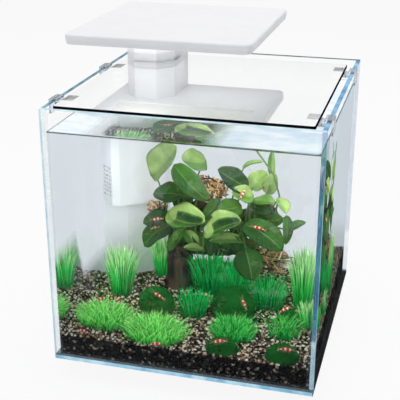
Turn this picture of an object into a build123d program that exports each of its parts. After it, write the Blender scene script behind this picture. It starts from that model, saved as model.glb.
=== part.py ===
"""Rimless cube aquarium on a low plinth: glass tank, cover glass on clips, corner filter
tower, flat lamp on a pillar, and a planted bed with driftwood and moss balls."""
import os
from math import cos, pi, sin, sqrt

from build123d import *

# Driving dimensions in millimetres. Z = 0 is the surface that the feet stand on,
# X = Y = 0 is the middle of the tank, and -Y is the viewing side.

# Glass tank
tank_w = 300.0
tank_d = 310.0
tank_h = 300.0
glass_t = 5.0
arris = 0.6
bead = 3.0
bead_hollow = 0.35
bead_below_rim = 4.0

# Stand
stand_inset = 41.0
plinth_h = 19.5
plinth_wall = 3.0
plinth_corner_r = 12.0
plinth_edge_r = 1.5
rib_t = 2.5
rib_count = 3
foot_r = 11.0
foot_h = 2.5
foot_recess = 1.0
foot_post_wall = 3.0
mat_t = 3.0
mat_inset = 2.0

# Cover glass and its clips
cover_t = 4.0
cover_proud = 2.0
cover_side_gap = 7.5
cover_front_gap = 2.0
cover_back_gap = 33.0
cover_corner_r = 3.0
cover_notch_gap = 3.0
clip_t = 2.2
clip_len = 20.0
clip_leg = 14.0
clip_ledge = 18.0
clip_ledge_t = 3.0
clip_edge_r = 0.8
clip_tip_r = 1.6
clip_front_in = 34.0
clip_rear_in = 29.0

# Filter tower in the back left corner; plans are measured from the inner corner of the
# glass, to the right and forwards
tower_gap = 1.0
tower_wall = 2.5
head_bottom = 138.0
head_below_rim = 10.0
head_side_d = 85.0
head_d = 105.0
head_facet_start = 18.5
head_facet_end = 29.0
tower_w = 70.0
column_d = 83.0
column_front_w = 32.0
cap_t = 4.0
slot_w = 5.0
slot_h = 2.6
slot_pitch_x = 7.0
slot_pitch_z = 5.0
slot_columns = 3
slot_rows = 8
slot_mid = 167.0
sponge_gap = 0.5
shelf_above_bottom = 55.0

# Pump on the shelf in the tower's head
pump_right = 38.0
pump_forward = 45.0
pump_r = 18.0
pump_h = 42.0
pump_base = 6.0
pump_edge_r = 1.5
well_r = 9.0
shaft_r = 1.25
shaft_seat = 4.0
shaft_running_gap = 0.05
rotor_gap = 1.0
rotor_lift = 0.2
volute_r = 14.0
volute_h = 9.0
volute_roof = 5.0
vane_count = 6
vane_t = 1.4
vane_reach = 12.0
vane_h = 7.0
hub_r = 5.0
nozzle_r = 7.0
nozzle_bore_r = 5.0
nozzle_proud = 1.5
nozzle_fit = 0.1

# Lamp and pillar
pillar_left = 9.0
pillar_left_d = 66.0
pillar_d = 82.0
pillar_facet_start = 23.5
pillar_wall = 2.5
spigot_inset = 8.0
spigot_h = 12.0
spigot_fit = 0.3
socket_wall = 2.5
socket_floor = 2.0
lamp_w = 212.0
lamp_d = 221.0
lamp_corner_r = 11.0
lamp_over_rim = 49.5
lamp_left_overhang = 6.0
lamp_lower_h = 5.0
lamp_upper_h = 6.0
lamp_wall = 2.2
lamp_skin = 2.0
lamp_draft = 12.0
lamp_edge_r = 2.4
window_w = 180.0
window_d = 108.0
window_front = 16.0
diffuser_t = 2.0
diffuser_ledge = 4.0
board_t = 1.6
board_margin = 9.0
standoff_r = 4.0
standoff_h = 1.4
chip_size = 3.5
chip_t = 0.8
chip_columns = 8
chip_rows = 5
grommet_r = 5.0
grommet_bore_r = 2.5
grommet_flange_r = 7.0
grommet_proud = 2.0
grommet_above_rim = 28.0

# Planted bed
gravel_front_h = 25.0
gravel_back_h = 37.0
bed_gap = 0.3
plug_t = 6.0
plug_proud = 0.5
blade_w = 3.0
blade_tip_w = 0.7
blade_sink = 1.5
outer_blade_drop = 0.3
moss_seat = 5.0

# Driftwood and the plant that grows on it
stump_across = -0.2828
stump_back = 0.34
stump_sink = 8.0
stump_h = 135.0
limb_sides = 6
knot_flare = 1.25
strand_w = 1.8
strand_tip_w = 0.8
strand_sides = 3
reach_step = 7
rhizome_r = 5.0
stalk_r = 1.3
stalk_sides = 5
stalk_tip = 0.8
stalk_bow = 0.08
leaf_t = 1.4
leaf_crown = 0.13
leaf_widest = 0.44
stalk_reach = 0.12
golden_turn = pi * (3 - sqrt(5))

# Levels and inner faces
mat_z = foot_h + plinth_h
stand_z = mat_z + mat_t
floor_top = stand_z + glass_t
rim_z = stand_z + tank_h
inner_w = tank_w - 2 * glass_t
inner_d = tank_d - 2 * glass_t
left_in = -inner_w / 2
back_in = inner_d / 2
cover_z = rim_z + cover_proud - cover_t
head_z = stand_z + head_bottom
cap_top = rim_z - head_below_rim
lamp_z = rim_z + lamp_over_rim
bed_slope = (gravel_back_h - gravel_front_h) / inner_d

os.makedirs("parts", exist_ok=True)


def save(part, name):
    """Labels a finished piece and writes its STEP file."""
    part.label = name
    export_step(part, f"parts/{name}.step")


def place(right, forward):
    """Point in plan, from the inner back left corner of the glass."""
    return (left_in + right, back_in - forward)


def outline(points):
    """Closed plan of the tower from corner distances."""
    Polygon(*[place(*p) for p in points], align=None)


def ground(y):
    """Height of the gravel at a depth y."""
    return floor_top + gravel_front_h + bed_slope * (y + inner_d / 2)


def at(across, back):
    """Place on the bed, as shares of half the inner width and depth."""
    return (across * inner_w / 2, back * inner_d / 2)


# Stand
plinth_w = tank_w - 2 * stand_inset
plinth_d = tank_d - 2 * stand_inset
foot_x = plinth_w / 2 - foot_r - foot_post_wall - plinth_wall / 2
foot_y = plinth_d / 2 - foot_r - foot_post_wall - plinth_wall / 2
foot_spots = [(sx * foot_x, sy * foot_y) for sx in (-1, 1) for sy in (-1, 1)] + [(0, 0)]


def plinth_plan(inset):
    """Rounded plan of the plinth, drawn in by an inset."""
    RectangleRounded(plinth_w - 2 * inset, plinth_d - 2 * inset, plinth_corner_r - inset)


with BuildPart() as stand_plinth:
    with BuildSketch(Plane.XY.offset(foot_h)):
        plinth_plan(0)
    extrude(amount=plinth_h)
    fillet(stand_plinth.edges().group_by(Axis.Z)[-1], plinth_edge_r)
    with BuildSketch(Plane.XY.offset(foot_h)):
        plinth_plan(plinth_wall)
    extrude(amount=plinth_h - plinth_wall, mode=Mode.SUBTRACT)
    with BuildSketch(Plane.XY.offset(foot_h)):
        with GridLocations(plinth_w / (rib_count + 1), 0, rib_count, 1):
            Rectangle(rib_t, plinth_d - plinth_wall)
        with GridLocations(0, plinth_d / (rib_count + 1), 1, rib_count):
            Rectangle(plinth_w - plinth_wall, rib_t)
        with Locations(*foot_spots):
            Circle(foot_r + foot_post_wall)
    extrude(amount=plinth_h - plinth_wall)
    with BuildSketch(Plane.XY.offset(foot_h)):
        with Locations(*foot_spots):
            Circle(foot_r)
    extrude(amount=foot_recess, mode=Mode.SUBTRACT)
save(stand_plinth.part, "stand_plinth")

with BuildPart() as stand_feet:
    with BuildSketch():
        with Locations(*foot_spots):
            Circle(foot_r)
    extrude(amount=foot_h + foot_recess)
    chamfer(stand_feet.edges().group_by(Axis.Z)[0], foot_recess)
save(stand_feet.part, "stand_feet")

with BuildPart() as foam_mat:
    with BuildSketch(Plane.XY.offset(mat_z)):
        plinth_plan(mat_inset)
    extrude(amount=mat_t)
save(foam_mat.part, "foam_mat")

# Glass tank: the walls stand on the floor pane, the side panes between front and back
with BuildPart() as floor_pane:
    with BuildSketch(Plane.XY.offset(stand_z)):
        Rectangle(tank_w, tank_d)
    extrude(amount=glass_t)
    chamfer(floor_pane.edges().group_by(Axis.Z)[0], arris)
save(floor_pane.part, "floor_pane")


def wall_pane(name, x, y, width, depth):
    """Upright pane with ground upper edges."""
    with BuildPart() as pane:
        with BuildSketch(Plane.XY.offset(floor_top)):
            with Locations((x, y)):
                Rectangle(width, depth)
        extrude(amount=rim_z - floor_top)
        chamfer(pane.edges().group_by(Axis.Z)[-1], arris)
    save(pane.part, name)


wall_pane("front_pane", 0, -(tank_d - glass_t) / 2, tank_w, glass_t)
wall_pane("back_pane", 0, (tank_d - glass_t) / 2, tank_w, glass_t)
wall_pane("left_pane", -(tank_w - glass_t) / 2, 0, glass_t, inner_d)
wall_pane("right_pane", (tank_w - glass_t) / 2, 0, glass_t, inner_d)

with BuildPart() as silicone_beads:
    with BuildSketch(Plane.XY.offset(floor_top)):
        for sx in (-1, 1):
            for sy in (-1, 1):
                corner = (sx * inner_w / 2, sy * inner_d / 2)
                with BuildLine():
                    along_x = (corner[0] - sx * bead, corner[1])
                    along_y = (corner[0], corner[1] - sy * bead)
                    hollow = (corner[0] - sx * bead * bead_hollow, corner[1] - sy * bead * bead_hollow)
                    Polyline(along_x, corner, along_y)
                    ThreePointArc(along_y, hollow, along_x)
                make_face()
    extrude(amount=rim_z - floor_top - bead_below_rim)
    for half, length, plane in (
        (inner_w / 2, inner_d, Plane.XZ),
        (inner_d / 2, inner_w, Plane.YZ),
    ):
        with BuildSketch(plane):
            for side in (-1, 1):
                foot = (side * half, floor_top)
                with BuildLine():
                    inwards = (side * (half - bead), floor_top)
                    upwards = (side * half, floor_top + bead)
                    hollow = (side * (half - bead * bead_hollow), floor_top + bead * bead_hollow)
                    Polyline(inwards, foot, upwards)
                    ThreePointArc(upwards, hollow, inwards)
                make_face()
        extrude(amount=length / 2, both=True)
save(silicone_beads.part, "silicone_beads")

# Filter tower plans
back_chamfer = bead + tower_gap
head_side = head_d - (tower_w - head_facet_end)
head_plan = (
    (tower_gap + back_chamfer, tower_gap),
    (tower_gap, tower_gap + back_chamfer),
    (tower_gap, head_side_d),
    (head_facet_start, head_d),
    (head_facet_end, head_d),
    (tower_w, head_side),
    (tower_w, tower_gap),
)
column_plan = (
    (tower_gap + back_chamfer, tower_gap),
    (tower_gap, tower_gap + back_chamfer),
    (tower_gap, column_d),
    (column_front_w, column_d),
    (tower_w, column_d - (tower_w - column_front_w)),
    (tower_w, tower_gap),
)
pillar_plan = (
    (pillar_left, tower_gap),
    (pillar_left, pillar_left_d),
    (pillar_facet_start, pillar_d),
    (tower_w - (pillar_d - head_side), pillar_d),
    (tower_w, head_side),
    (tower_w, tower_gap),
)

# Cover glass, cut out around the pillar
cover_left = left_in + cover_side_gap
cover_right = -left_in - cover_side_gap
cover_front = -back_in + cover_front_gap
cover_back = back_in - cover_back_gap
notch_x, notch_y = place(tower_w + cover_notch_gap, pillar_d + cover_notch_gap)
notch_cut = pillar_d - head_side

with BuildPart() as cover_glass:
    with BuildSketch(Plane.XY.offset(cover_z)):
        with BuildLine():
            Polyline(
                (cover_left, cover_front),
                (cover_right, cover_front),
                (cover_right, cover_back),
                (notch_x, cover_back),
                (notch_x, notch_y + notch_cut),
                (notch_x - notch_cut, notch_y),
                (cover_left, notch_y),
                close=True,
            )
        make_face()
    extrude(amount=cover_t)
    fillet(cover_glass.edges().filter_by(Axis.Z), cover_corner_r)
    chamfer(cover_glass.edges().group_by(Axis.Z)[-1], arris)
save(cover_glass.part, "cover_glass")


def cover_clip(name, side, y):
    """Clear hook over a side pane, with a ledge inside that carries the cover glass."""
    outer = side * tank_w / 2
    inner = side * inner_w / 2
    with BuildPart() as clip:
        with BuildSketch(Plane.XZ.offset(-y)):
            with BuildLine():
                Polyline(
                    (outer, rim_z),
                    (outer, rim_z - clip_leg),
                    (outer + side * clip_t, rim_z - clip_leg),
                    (outer + side * clip_t, rim_z + clip_t),
                    (inner - side * clip_t, rim_z + clip_t),
                    (inner - side * clip_t, cover_z),
                    (inner - side * (clip_t + clip_ledge), cover_z),
                    (inner - side * (clip_t + clip_ledge), cover_z - clip_ledge_t),
                    (inner, cover_z - clip_ledge_t),
                    (inner, rim_z),
                    close=True,
                )
            make_face()
        extrude(amount=clip_len / 2, both=True)
        top = clip.edges().group_by(Axis.Z)[-1]
        fillet(top.filter_by(Axis.Y), clip_edge_r)
        tip = clip.faces().sort_by(Axis.X)[0 if side > 0 else -1]
        fillet(tip.edges().filter_by(Axis.Z), clip_tip_r)
    save(clip.part, name)


front_clip_y = cover_front + clip_front_in
cover_clip("clip_front_left", -1, front_clip_y)
cover_clip("clip_front_right", 1, front_clip_y)
cover_clip("clip_rear_left", -1, notch_y - clip_rear_in)
cover_clip("clip_rear_right", 1, cover_back - clip_rear_in)

# Filter column, which stands on the floor pane and carries the head
with BuildPart() as filter_column:
    with BuildSketch(Plane.XY.offset(floor_top)):
        outline(column_plan)
    extrude(amount=head_z - floor_top)
    chamfer(filter_column.edges().group_by(Axis.Z)[0], back_chamfer)
    with BuildSketch(Plane.XY.offset(floor_top + 2 * back_chamfer)):
        outline(column_plan)
        offset(amount=-tower_wall, kind=Kind.INTERSECTION, mode=Mode.REPLACE)
    extrude(until=Until.LAST, mode=Mode.SUBTRACT)
save(filter_column.part, "filter_column")

# Filter head: intake slots in its left chamfer, a shelf for the pump, an outlet hole
shelf_z = head_z + shelf_above_bottom
shelf_top = shelf_z + tower_wall
cap_z = cap_top - cap_t
pump_x, pump_y = place(pump_right, pump_forward)
outlet_z = shelf_top + pump_h + volute_h / 2
outlet_run = (tower_w + head_side - pump_right - pump_forward) / sqrt(2)
outlet_axis = Plane(origin=(pump_x, pump_y, outlet_z), x_dir=(1, 1, 0), z_dir=(1, -1, 0))
intake_a = Vector(*place(tower_gap, head_side_d))
intake_b = Vector(*place(head_facet_start, head_d))
intake_mid = (intake_a + intake_b) * 0.5
intake_run = intake_b - intake_a
intake_face = Plane(
    origin=(intake_mid.X, intake_mid.Y, stand_z + slot_mid),
    x_dir=intake_run,
    z_dir=(intake_run.Y, -intake_run.X, 0),
)

with BuildPart() as filter_head:
    with BuildSketch(Plane.XY.offset(head_z)):
        outline(head_plan)
    extrude(amount=cap_z - head_z)
    with BuildSketch(Plane.XY.offset(head_z + tower_wall)):
        outline(head_plan)
        offset(amount=-tower_wall, kind=Kind.INTERSECTION, mode=Mode.REPLACE)
    extrude(until=Until.LAST, mode=Mode.SUBTRACT)
    with BuildSketch(Plane.XY.offset(shelf_z)):
        outline(head_plan)
        offset(amount=-tower_wall / 2, kind=Kind.INTERSECTION, mode=Mode.REPLACE)
        with Locations((pump_x, pump_y)):
            Circle(well_r, mode=Mode.SUBTRACT)
    extrude(amount=tower_wall)
    with BuildSketch(intake_face):
        with GridLocations(slot_pitch_x, slot_pitch_z, slot_columns, slot_rows):
            Rectangle(slot_w, slot_h)
    extrude(amount=-2 * tower_wall, mode=Mode.SUBTRACT)
    with BuildSketch(outlet_axis.offset(outlet_run - 2 * tower_wall)):
        Circle(nozzle_r + nozzle_fit)
    extrude(amount=4 * tower_wall, mode=Mode.SUBTRACT)
save(filter_head.part, "filter_head")

with BuildPart() as filter_sponge:
    with BuildSketch(Plane.XY.offset(head_z + tower_wall)):
        outline(head_plan)
        offset(amount=-tower_wall - sponge_gap, kind=Kind.INTERSECTION, mode=Mode.REPLACE)
    extrude(amount=shelf_z - head_z - tower_wall - sponge_gap)
save(filter_sponge.part, "filter_sponge")

# Cap of the head, with the socket for the pillar's spigot
with BuildPart() as filter_cap:
    with BuildSketch(Plane.XY.offset(cap_z)):
        outline(head_plan)
    extrude(amount=cap_t)
    with BuildSketch(Plane.XY.offset(cap_top - spigot_h - spigot_fit - socket_floor)):
        outline(pillar_plan)
        offset(amount=socket_wall + spigot_fit - spigot_inset, kind=Kind.INTERSECTION, mode=Mode.REPLACE)
    extrude(amount=spigot_h + spigot_fit + socket_floor)
    with BuildSketch(Plane.XY.offset(cap_top - spigot_h - spigot_fit)):
        outline(pillar_plan)
        offset(amount=spigot_fit - spigot_inset, kind=Kind.INTERSECTION, mode=Mode.REPLACE)
    extrude(until=Until.LAST, mode=Mode.SUBTRACT)
save(filter_cap.part, "filter_cap")

# Pump: body with a rotor well, a volute cover, a ceramic shaft and the impeller
pump_top = shelf_top + pump_h
well_bottom = shelf_top + pump_base


def pump_disc(radius):
    """Circle about the pump's axis."""
    with Locations((pump_x, pump_y)):
        Circle(radius)


with BuildPart() as pump_body:
    with BuildSketch(Plane.XY.offset(shelf_top)):
        pump_disc(pump_r)
    extrude(amount=pump_h)
    with BuildSketch(Plane.XY.offset(well_bottom)):
        pump_disc(well_r)
    extrude(until=Until.LAST, mode=Mode.SUBTRACT)
    with BuildSketch(Plane.XY.offset(well_bottom - shaft_seat)):
        pump_disc(shaft_r)
    extrude(amount=shaft_seat, mode=Mode.SUBTRACT)
save(pump_body.part, "pump_body")

with BuildPart() as pump_cover:
    with BuildSketch(Plane.XY.offset(pump_top)):
        pump_disc(pump_r)
    extrude(amount=volute_h + volute_roof)
    with BuildSketch(Plane.XY.offset(pump_top)):
        pump_disc(volute_r)
    extrude(amount=volute_h, mode=Mode.SUBTRACT)
    with BuildSketch(Plane.XY.offset(pump_top + volute_h)):
        pump_disc(shaft_r)
    extrude(amount=shaft_seat, mode=Mode.SUBTRACT)
    with BuildSketch(outlet_axis):
        Circle(nozzle_bore_r)
    extrude(amount=pump_r, mode=Mode.SUBTRACT)
    fillet(pump_cover.edges().group_by(Axis.Z)[-1], pump_edge_r)
save(pump_cover.part, "pump_cover")

with BuildPart() as impeller_shaft:
    with BuildSketch(Plane.XY.offset(well_bottom - shaft_seat)):
        pump_disc(shaft_r)
    extrude(amount=pump_top + volute_h + 2 * shaft_seat - well_bottom)
save(impeller_shaft.part, "impeller_shaft")

with BuildPart() as pump_impeller:
    with BuildSketch(Plane.XY.offset(well_bottom + rotor_lift)):
        pump_disc(well_r - rotor_gap)
    extrude(amount=pump_top - well_bottom - 2 * rotor_gap)
    with BuildSketch(Plane.XY.offset(well_bottom + rotor_lift)):
        pump_disc(hub_r)
    extrude(amount=pump_top + rotor_gap + vane_h - well_bottom)
    with BuildSketch(Plane.XY.offset(pump_top + rotor_gap)):
        with Locations((pump_x, pump_y)):
            with PolarLocations((hub_r + vane_reach) / 2, vane_count):
                Rectangle(vane_reach - hub_r + vane_t, vane_t)
    extrude(amount=vane_h)
    with BuildSketch(Plane.XY.offset(well_bottom)):
        pump_disc(shaft_r + shaft_running_gap)
    extrude(until=Until.LAST, mode=Mode.SUBTRACT)
save(pump_impeller.part, "pump_impeller")

with BuildPart() as outlet_nozzle:
    with BuildSketch(outlet_axis.offset(volute_r)):
        Circle(nozzle_r)
        Circle(nozzle_bore_r, mode=Mode.SUBTRACT)
    extrude(amount=outlet_run + nozzle_proud - volute_r)
    with BuildSketch(Plane.XY.offset(shelf_top)):
        pump_disc(pump_r)
    extrude(amount=pump_h + volute_h + volute_roof, mode=Mode.SUBTRACT)
save(outlet_nozzle.part, "outlet_nozzle")

# Pillar: a tube that stands on the cap, with a closed foot and a spigot
grommet_spot = (left_in + (pillar_left + tower_w) / 2, rim_z + grommet_above_rim)
pillar_back = back_in - tower_gap

with BuildPart() as lamp_pillar:
    with BuildSketch(Plane.XY.offset(cap_top)):
        outline(pillar_plan)
    extrude(amount=lamp_z - cap_top)
    with BuildSketch(Plane.XY.offset(cap_top - spigot_h)):
        outline(pillar_plan)
        offset(amount=-spigot_inset, kind=Kind.INTERSECTION, mode=Mode.REPLACE)
    extrude(amount=spigot_h)
    with BuildSketch(Plane.XY.offset(cap_top + pillar_wall)):
        outline(pillar_plan)
        offset(amount=-pillar_wall, kind=Kind.INTERSECTION, mode=Mode.REPLACE)
    extrude(until=Until.LAST, mode=Mode.SUBTRACT)
    with BuildSketch(Plane.XZ.offset(-back_in)):
        with Locations(grommet_spot):
            Circle(grommet_r)
    extrude(amount=tower_gap + pillar_wall, mode=Mode.SUBTRACT)
save(lamp_pillar.part, "lamp_pillar")

with BuildPart() as cable_grommet:
    with BuildSketch(Plane.XZ.offset(pillar_wall - pillar_back)):
        with Locations(grommet_spot):
            Circle(grommet_r)
            Circle(grommet_bore_r, mode=Mode.SUBTRACT)
    extrude(amount=-pillar_wall - grommet_proud)
    with BuildSketch(Plane.XZ.offset(-pillar_back)):
        with Locations(grommet_spot):
            Circle(grommet_flange_r)
            Circle(grommet_bore_r, mode=Mode.SUBTRACT)
    extrude(amount=-grommet_proud)
save(cable_grommet.part, "cable_grommet")

# Lamp: lower tray with a window, diffuser, light board with its chips, upper shell
lamp_x = -tank_w / 2 - lamp_left_overhang + lamp_w / 2
lamp_y = back_in - lamp_d / 2
split_z = lamp_z + lamp_lower_h
lamp_top = split_z + lamp_upper_h
window_y = lamp_y - lamp_d / 2 + window_front + window_d / 2
board_z = lamp_top - lamp_skin - standoff_h - board_t
board_w = window_w - 2 * board_margin
board_d = window_d - 2 * board_margin


def lamp_plan(inset):
    """Rounded plan of the lamp, drawn in by a wall."""
    with Locations((lamp_x, lamp_y)):
        RectangleRounded(lamp_w - 2 * inset, lamp_d - 2 * inset, lamp_corner_r - inset)


with BuildPart() as lamp_lower_shell:
    with BuildSketch(Plane.XY.offset(split_z)):
        lamp_plan(0)
    extrude(amount=-lamp_lower_h, taper=lamp_draft)
    with BuildSketch(Plane.XY.offset(lamp_z + lamp_skin)):
        lamp_plan(lamp_wall + lamp_skin)
    extrude(until=Until.LAST, mode=Mode.SUBTRACT)
    with BuildSketch(Plane.XY.offset(lamp_z)):
        with Locations((lamp_x, window_y)):
            Rectangle(window_w - 2 * diffuser_ledge, window_d - 2 * diffuser_ledge)
    extrude(amount=lamp_skin, mode=Mode.SUBTRACT)
save(lamp_lower_shell.part, "lamp_lower_shell")

with BuildPart() as lamp_diffuser:
    with BuildSketch(Plane.XY.offset(lamp_z + lamp_skin)):
        with Locations((lamp_x, window_y)):
            RectangleRounded(window_w, window_d, diffuser_ledge)
    extrude(amount=diffuser_t)
save(lamp_diffuser.part, "lamp_diffuser")

with BuildPart() as lamp_upper_shell:
    with BuildSketch(Plane.XY.offset(split_z)):
        lamp_plan(0)
    extrude(amount=lamp_upper_h)
    fillet(lamp_upper_shell.edges().group_by(Axis.Z)[-1], lamp_edge_r)
    with BuildSketch(Plane.XY.offset(split_z)):
        lamp_plan(lamp_wall)
    extrude(amount=lamp_upper_h - lamp_skin, mode=Mode.SUBTRACT)
    with BuildSketch(Plane.XY.offset(lamp_top - lamp_skin)):
        with Locations((lamp_x, window_y)):
            with GridLocations(board_w - 4 * standoff_r, board_d - 4 * standoff_r, 2, 2):
                Circle(standoff_r)
    extrude(amount=-standoff_h)
save(lamp_upper_shell.part, "lamp_upper_shell")

with BuildPart() as led_board:
    with BuildSketch(Plane.XY.offset(board_z)):
        with Locations((lamp_x, window_y)):
            RectangleRounded(board_w, board_d, standoff_r)
    extrude(amount=board_t)
save(led_board.part, "led_board")

with BuildPart() as led_chips:
    with BuildSketch(Plane.XY.offset(board_z)):
        with Locations((lamp_x, window_y)):
            with GridLocations(board_w / chip_columns, board_d / chip_rows, chip_columns, chip_rows):
                Rectangle(chip_size, chip_size)
    extrude(amount=-chip_t)
save(led_chips.part, "led_chips")


# Driftwood: a stump that stands in the gravel, with three limbs. Points are measured from
# the stump's axis and the floor pane.
stump_x, stump_y = at(stump_across, stump_back)
bark_wave = (1.0, 0.86, 1.06, 0.9, 1.1, 0.84, 0.97)
stump_steps = (
    (0.0, 22.0, 19.0),
    (0.25, 18.5, 16.5),
    (0.6, 17.0, 15.0),
    (1.0, 12.0, 11.0),
)
right_limb = (((3.0, -1.0, 88.0), 11.0), ((41.0, -3.0, 90.0), 10.0), ((99.0, -9.0, 94.0), 7.0))
top_limb = (((6.0, -1.0, 118.0), 9.0), ((29.0, 1.0, 152.0), 7.0))
left_limb = (((-1.0, -1.0, 108.0), 8.0), ((-20.0, -5.0, 130.0), 5.0))
section_hint = Vector(0, 1, 0.2)


def along(points, index):
    """Direction of a bent path at one of its points."""
    before = Vector(*points[max(index - 1, 0)])
    after = Vector(*points[min(index + 1, len(points) - 1)])
    return (after - before).normalized()


def section(point, direction, radius, sides):
    """Regular section of a limb or stalk, square to its path."""
    across = direction.cross(section_hint)
    return Plane(origin=point, x_dir=across, z_dir=direction) * RegularPolygon(radius, sides)


def bent_rod(points, radii, sides):
    """Tapered rod through a few points."""
    cuts = [section(p, along(points, i), radii[i], sides) for i, p in enumerate(points)]
    return loft(cuts, ruled=True)


def from_stump(offset_xyz):
    """Point of the driftwood or its plant, from the stump's axis at the floor pane."""
    return (stump_x + offset_xyz[0], stump_y + offset_xyz[1], floor_top + offset_xyz[2])


def limb(joints):
    """Limb of the driftwood."""
    return bent_rod([from_stump(p) for p, r in joints], [r for p, r in joints], limb_sides)


def bark_ring(share, across, deep):
    """Uneven section of the stump at a share of its height."""
    low = ground(stump_y) - stump_sink
    level = low + share * (floor_top + stump_h - low)
    turn = 2 * pi / len(bark_wave)
    points = [(across * w * cos(i * turn), deep * w * sin(i * turn)) for i, w in enumerate(bark_wave)]
    return Plane((stump_x, stump_y, level)) * Polygon(*points, align=None)


stump = loft([bark_ring(*step) for step in stump_steps], ruled=True)
limbs = [limb(joints) for joints in (right_limb, top_limb, left_limb)]
with BuildPart() as driftwood:
    add(stump)
    add(limbs)
save(driftwood.part, "driftwood")


def strand(foot, tip, foot_w, tip_w):
    """Three sided strand, such as a blade of grass or a fine root."""
    way = (tip - foot).normalized()
    foot_cut = section(tuple(foot), way, foot_w / 2, strand_sides)
    tip_cut = section(tuple(tip), way, tip_w / 2, strand_sides)
    return loft([foot_cut, tip_cut], ruled=True)


def root_bundle(name, joints, count, spread, shortest, longest, droop):
    """Fine roots that fan out of a knot on the end of a limb."""
    points = [from_stump(p) for p, r in joints]
    end = Vector(*points[-1])
    ahead = along(points, len(points) - 1)
    end_r = joints[-1][1]
    side = ahead.cross(section_hint).normalized()
    up = ahead.cross(side)
    knot_r = knot_flare * end_r
    knot_face = end + ahead * end_r
    knot_back = section(tuple(end), ahead, end_r, limb_sides)
    knot_front = section(tuple(knot_face), ahead, knot_r, limb_sides)
    knot = loft([knot_back, knot_front], ruled=True)
    strands = []
    for i in range(count):
        share = sqrt((i + 0.5) / count)
        turn = i * golden_turn
        way = side * cos(turn) + up * sin(turn)
        reach = shortest + (longest - shortest) * (i * reach_step % count) / count
        foot = knot_face + way * (share * (knot_r - strand_w)) - ahead * blade_sink
        tip = knot_face + way * (share * spread) + ahead * reach - Vector(0, 0, droop * reach)
        strands.append(strand(foot, tip, strand_w, strand_tip_w))
    with BuildPart() as bundle:
        add(knot)
        add(strands)
        add(driftwood.part, mode=Mode.SUBTRACT)
    save(bundle.part, name)


root_bundle("roots_right", right_limb, 22, 22.0, 16.0, 36.0, 0.3)
root_bundle("roots_top", top_limb, 22, 18.0, 14.0, 32.0, 0.0)
root_bundle("roots_left", left_limb, 12, 12.0, 8.0, 16.0, 0.1)

# Broad leaved plant on the driftwood: a creeping rhizome, stalks and oval leaves.
# Each leaf: where its stalk leaves the rhizome, its base, its tip, its width and the
# way that its upper side faces.
rhizome_path = ((-13.0, -11.0, 120.0), (11.0, -14.0, 127.0), (66.0, -15.0, 126.0), (121.0, -13.0, 127.0))
rhizome_taper = (0.6, 1.0, 1.0, 0.6)
leaves = (
    (-12, (-36, -7, 177), (2, -29, 222), 44, (-0.4, -0.8, 0.4)),
    (-8, (-9, -21, 119), (-38, -36, 92), 34, (-0.4, -0.7, 0.6)),
    (-6, (-6, -20, 130), (-40, -33, 122), 26, (-0.3, -0.7, 0.6)),
    (-4, (8, -21, 160), (-29, -24, 158), 32, (0.0, -0.6, 0.8)),
    (1, (-3, -23, 198), (42, -38, 160), 30, (0.3, -0.85, 0.4)),
    (6, (-7, -43, 143), (42, -58, 141), 44, (0.1, -0.6, 0.8)),
    (11, (30, 12, 196), (5, -16, 203), 34, (0.1, -0.75, 0.65)),
    (15, (34, -18, 166), (8, -26, 158), 20, (0.0, -0.6, 0.8)),
    (31, (39, -37, 96), (14, -49, 101), 14, (0.0, -0.5, 0.8)),
    (37, (38, -46, 121), (86, -62, 148), 38, (0.0, -0.65, 0.75)),
    (45, (54, -28, 161), (36, -42, 138), 18, (0.2, -0.8, 0.5)),
    (55, (80, -25, 155), (54, -40, 150), 30, (0.0, -0.65, 0.75)),
    (60, (74, 11, 192), (99, 9, 202), 9, (0.0, -0.5, 0.85)),
    (65, (85, -5, 172), (51, -29, 198), 32, (-0.2, -0.7, 0.7)),
    (70, (85, -29, 112), (45, -45, 112), 20, (0.0, -0.5, 0.85)),
    (75, (89, -47, 108), (101, -65, 74), 36, (0.0, -0.9, 0.4)),
    (79, (84, -35, 136), (134, -51, 111), 38, (0.1, -0.6, 0.8)),
    (83, (86, 7, 167), (104, 10, 190), 24, (0.0, -0.9, 0.3)),
    (87, (93, -17, 166), (69, -34, 172), 26, (0.0, -0.75, 0.65)),
    (89, (86, -8, 150), (116, -18, 146), 20, (0.0, -0.6, 0.8)),
    (91, (82, -7, 132), (130, -16, 138), 30, (0.0, -0.65, 0.75)),
    (95, (91, -11, 158), (119, -21, 160), 22, (0.1, -0.4, 0.9)),
    (99, (105, 7, 163), (115, 1, 192), 20, (0.0, -0.95, 0.3)),
    (103, (111, 9, 182), (109, 15, 216), 10, (0.0, -1.0, 0.0)),
    (107, (121, -15, 166), (133, -25, 150), 17, (0.5, -0.7, 0.5)),
    (111, (133, -17, 146), (134, -29, 112), 14, (0.4, -0.9, 0.1)),
    (119, (133, -21, 124), (157, -26, 142), 14, (-0.3, -0.6, 0.7)),
)
bare_stem = ((115, -13, 127), (122, -7, 166), (114, -6, 192), (93, -6, 219))


def on_rhizome(x):
    """Point of the rhizome's axis at a given x."""
    for a, b in zip(rhizome_path, rhizome_path[1:]):
        if x <= b[0] or b is rhizome_path[-1]:
            share = (x - a[0]) / (b[0] - a[0])
            return from_stump([p + (q - p) * share for p, q in zip(a, b)])


def upper_side(run, face):
    """Direction square to a leaf's run that comes nearest to the way it faces."""
    along_leaf = run.normalized()
    return (Vector(*face) - along_leaf * Vector(*face).dot(along_leaf)).normalized()


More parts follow.
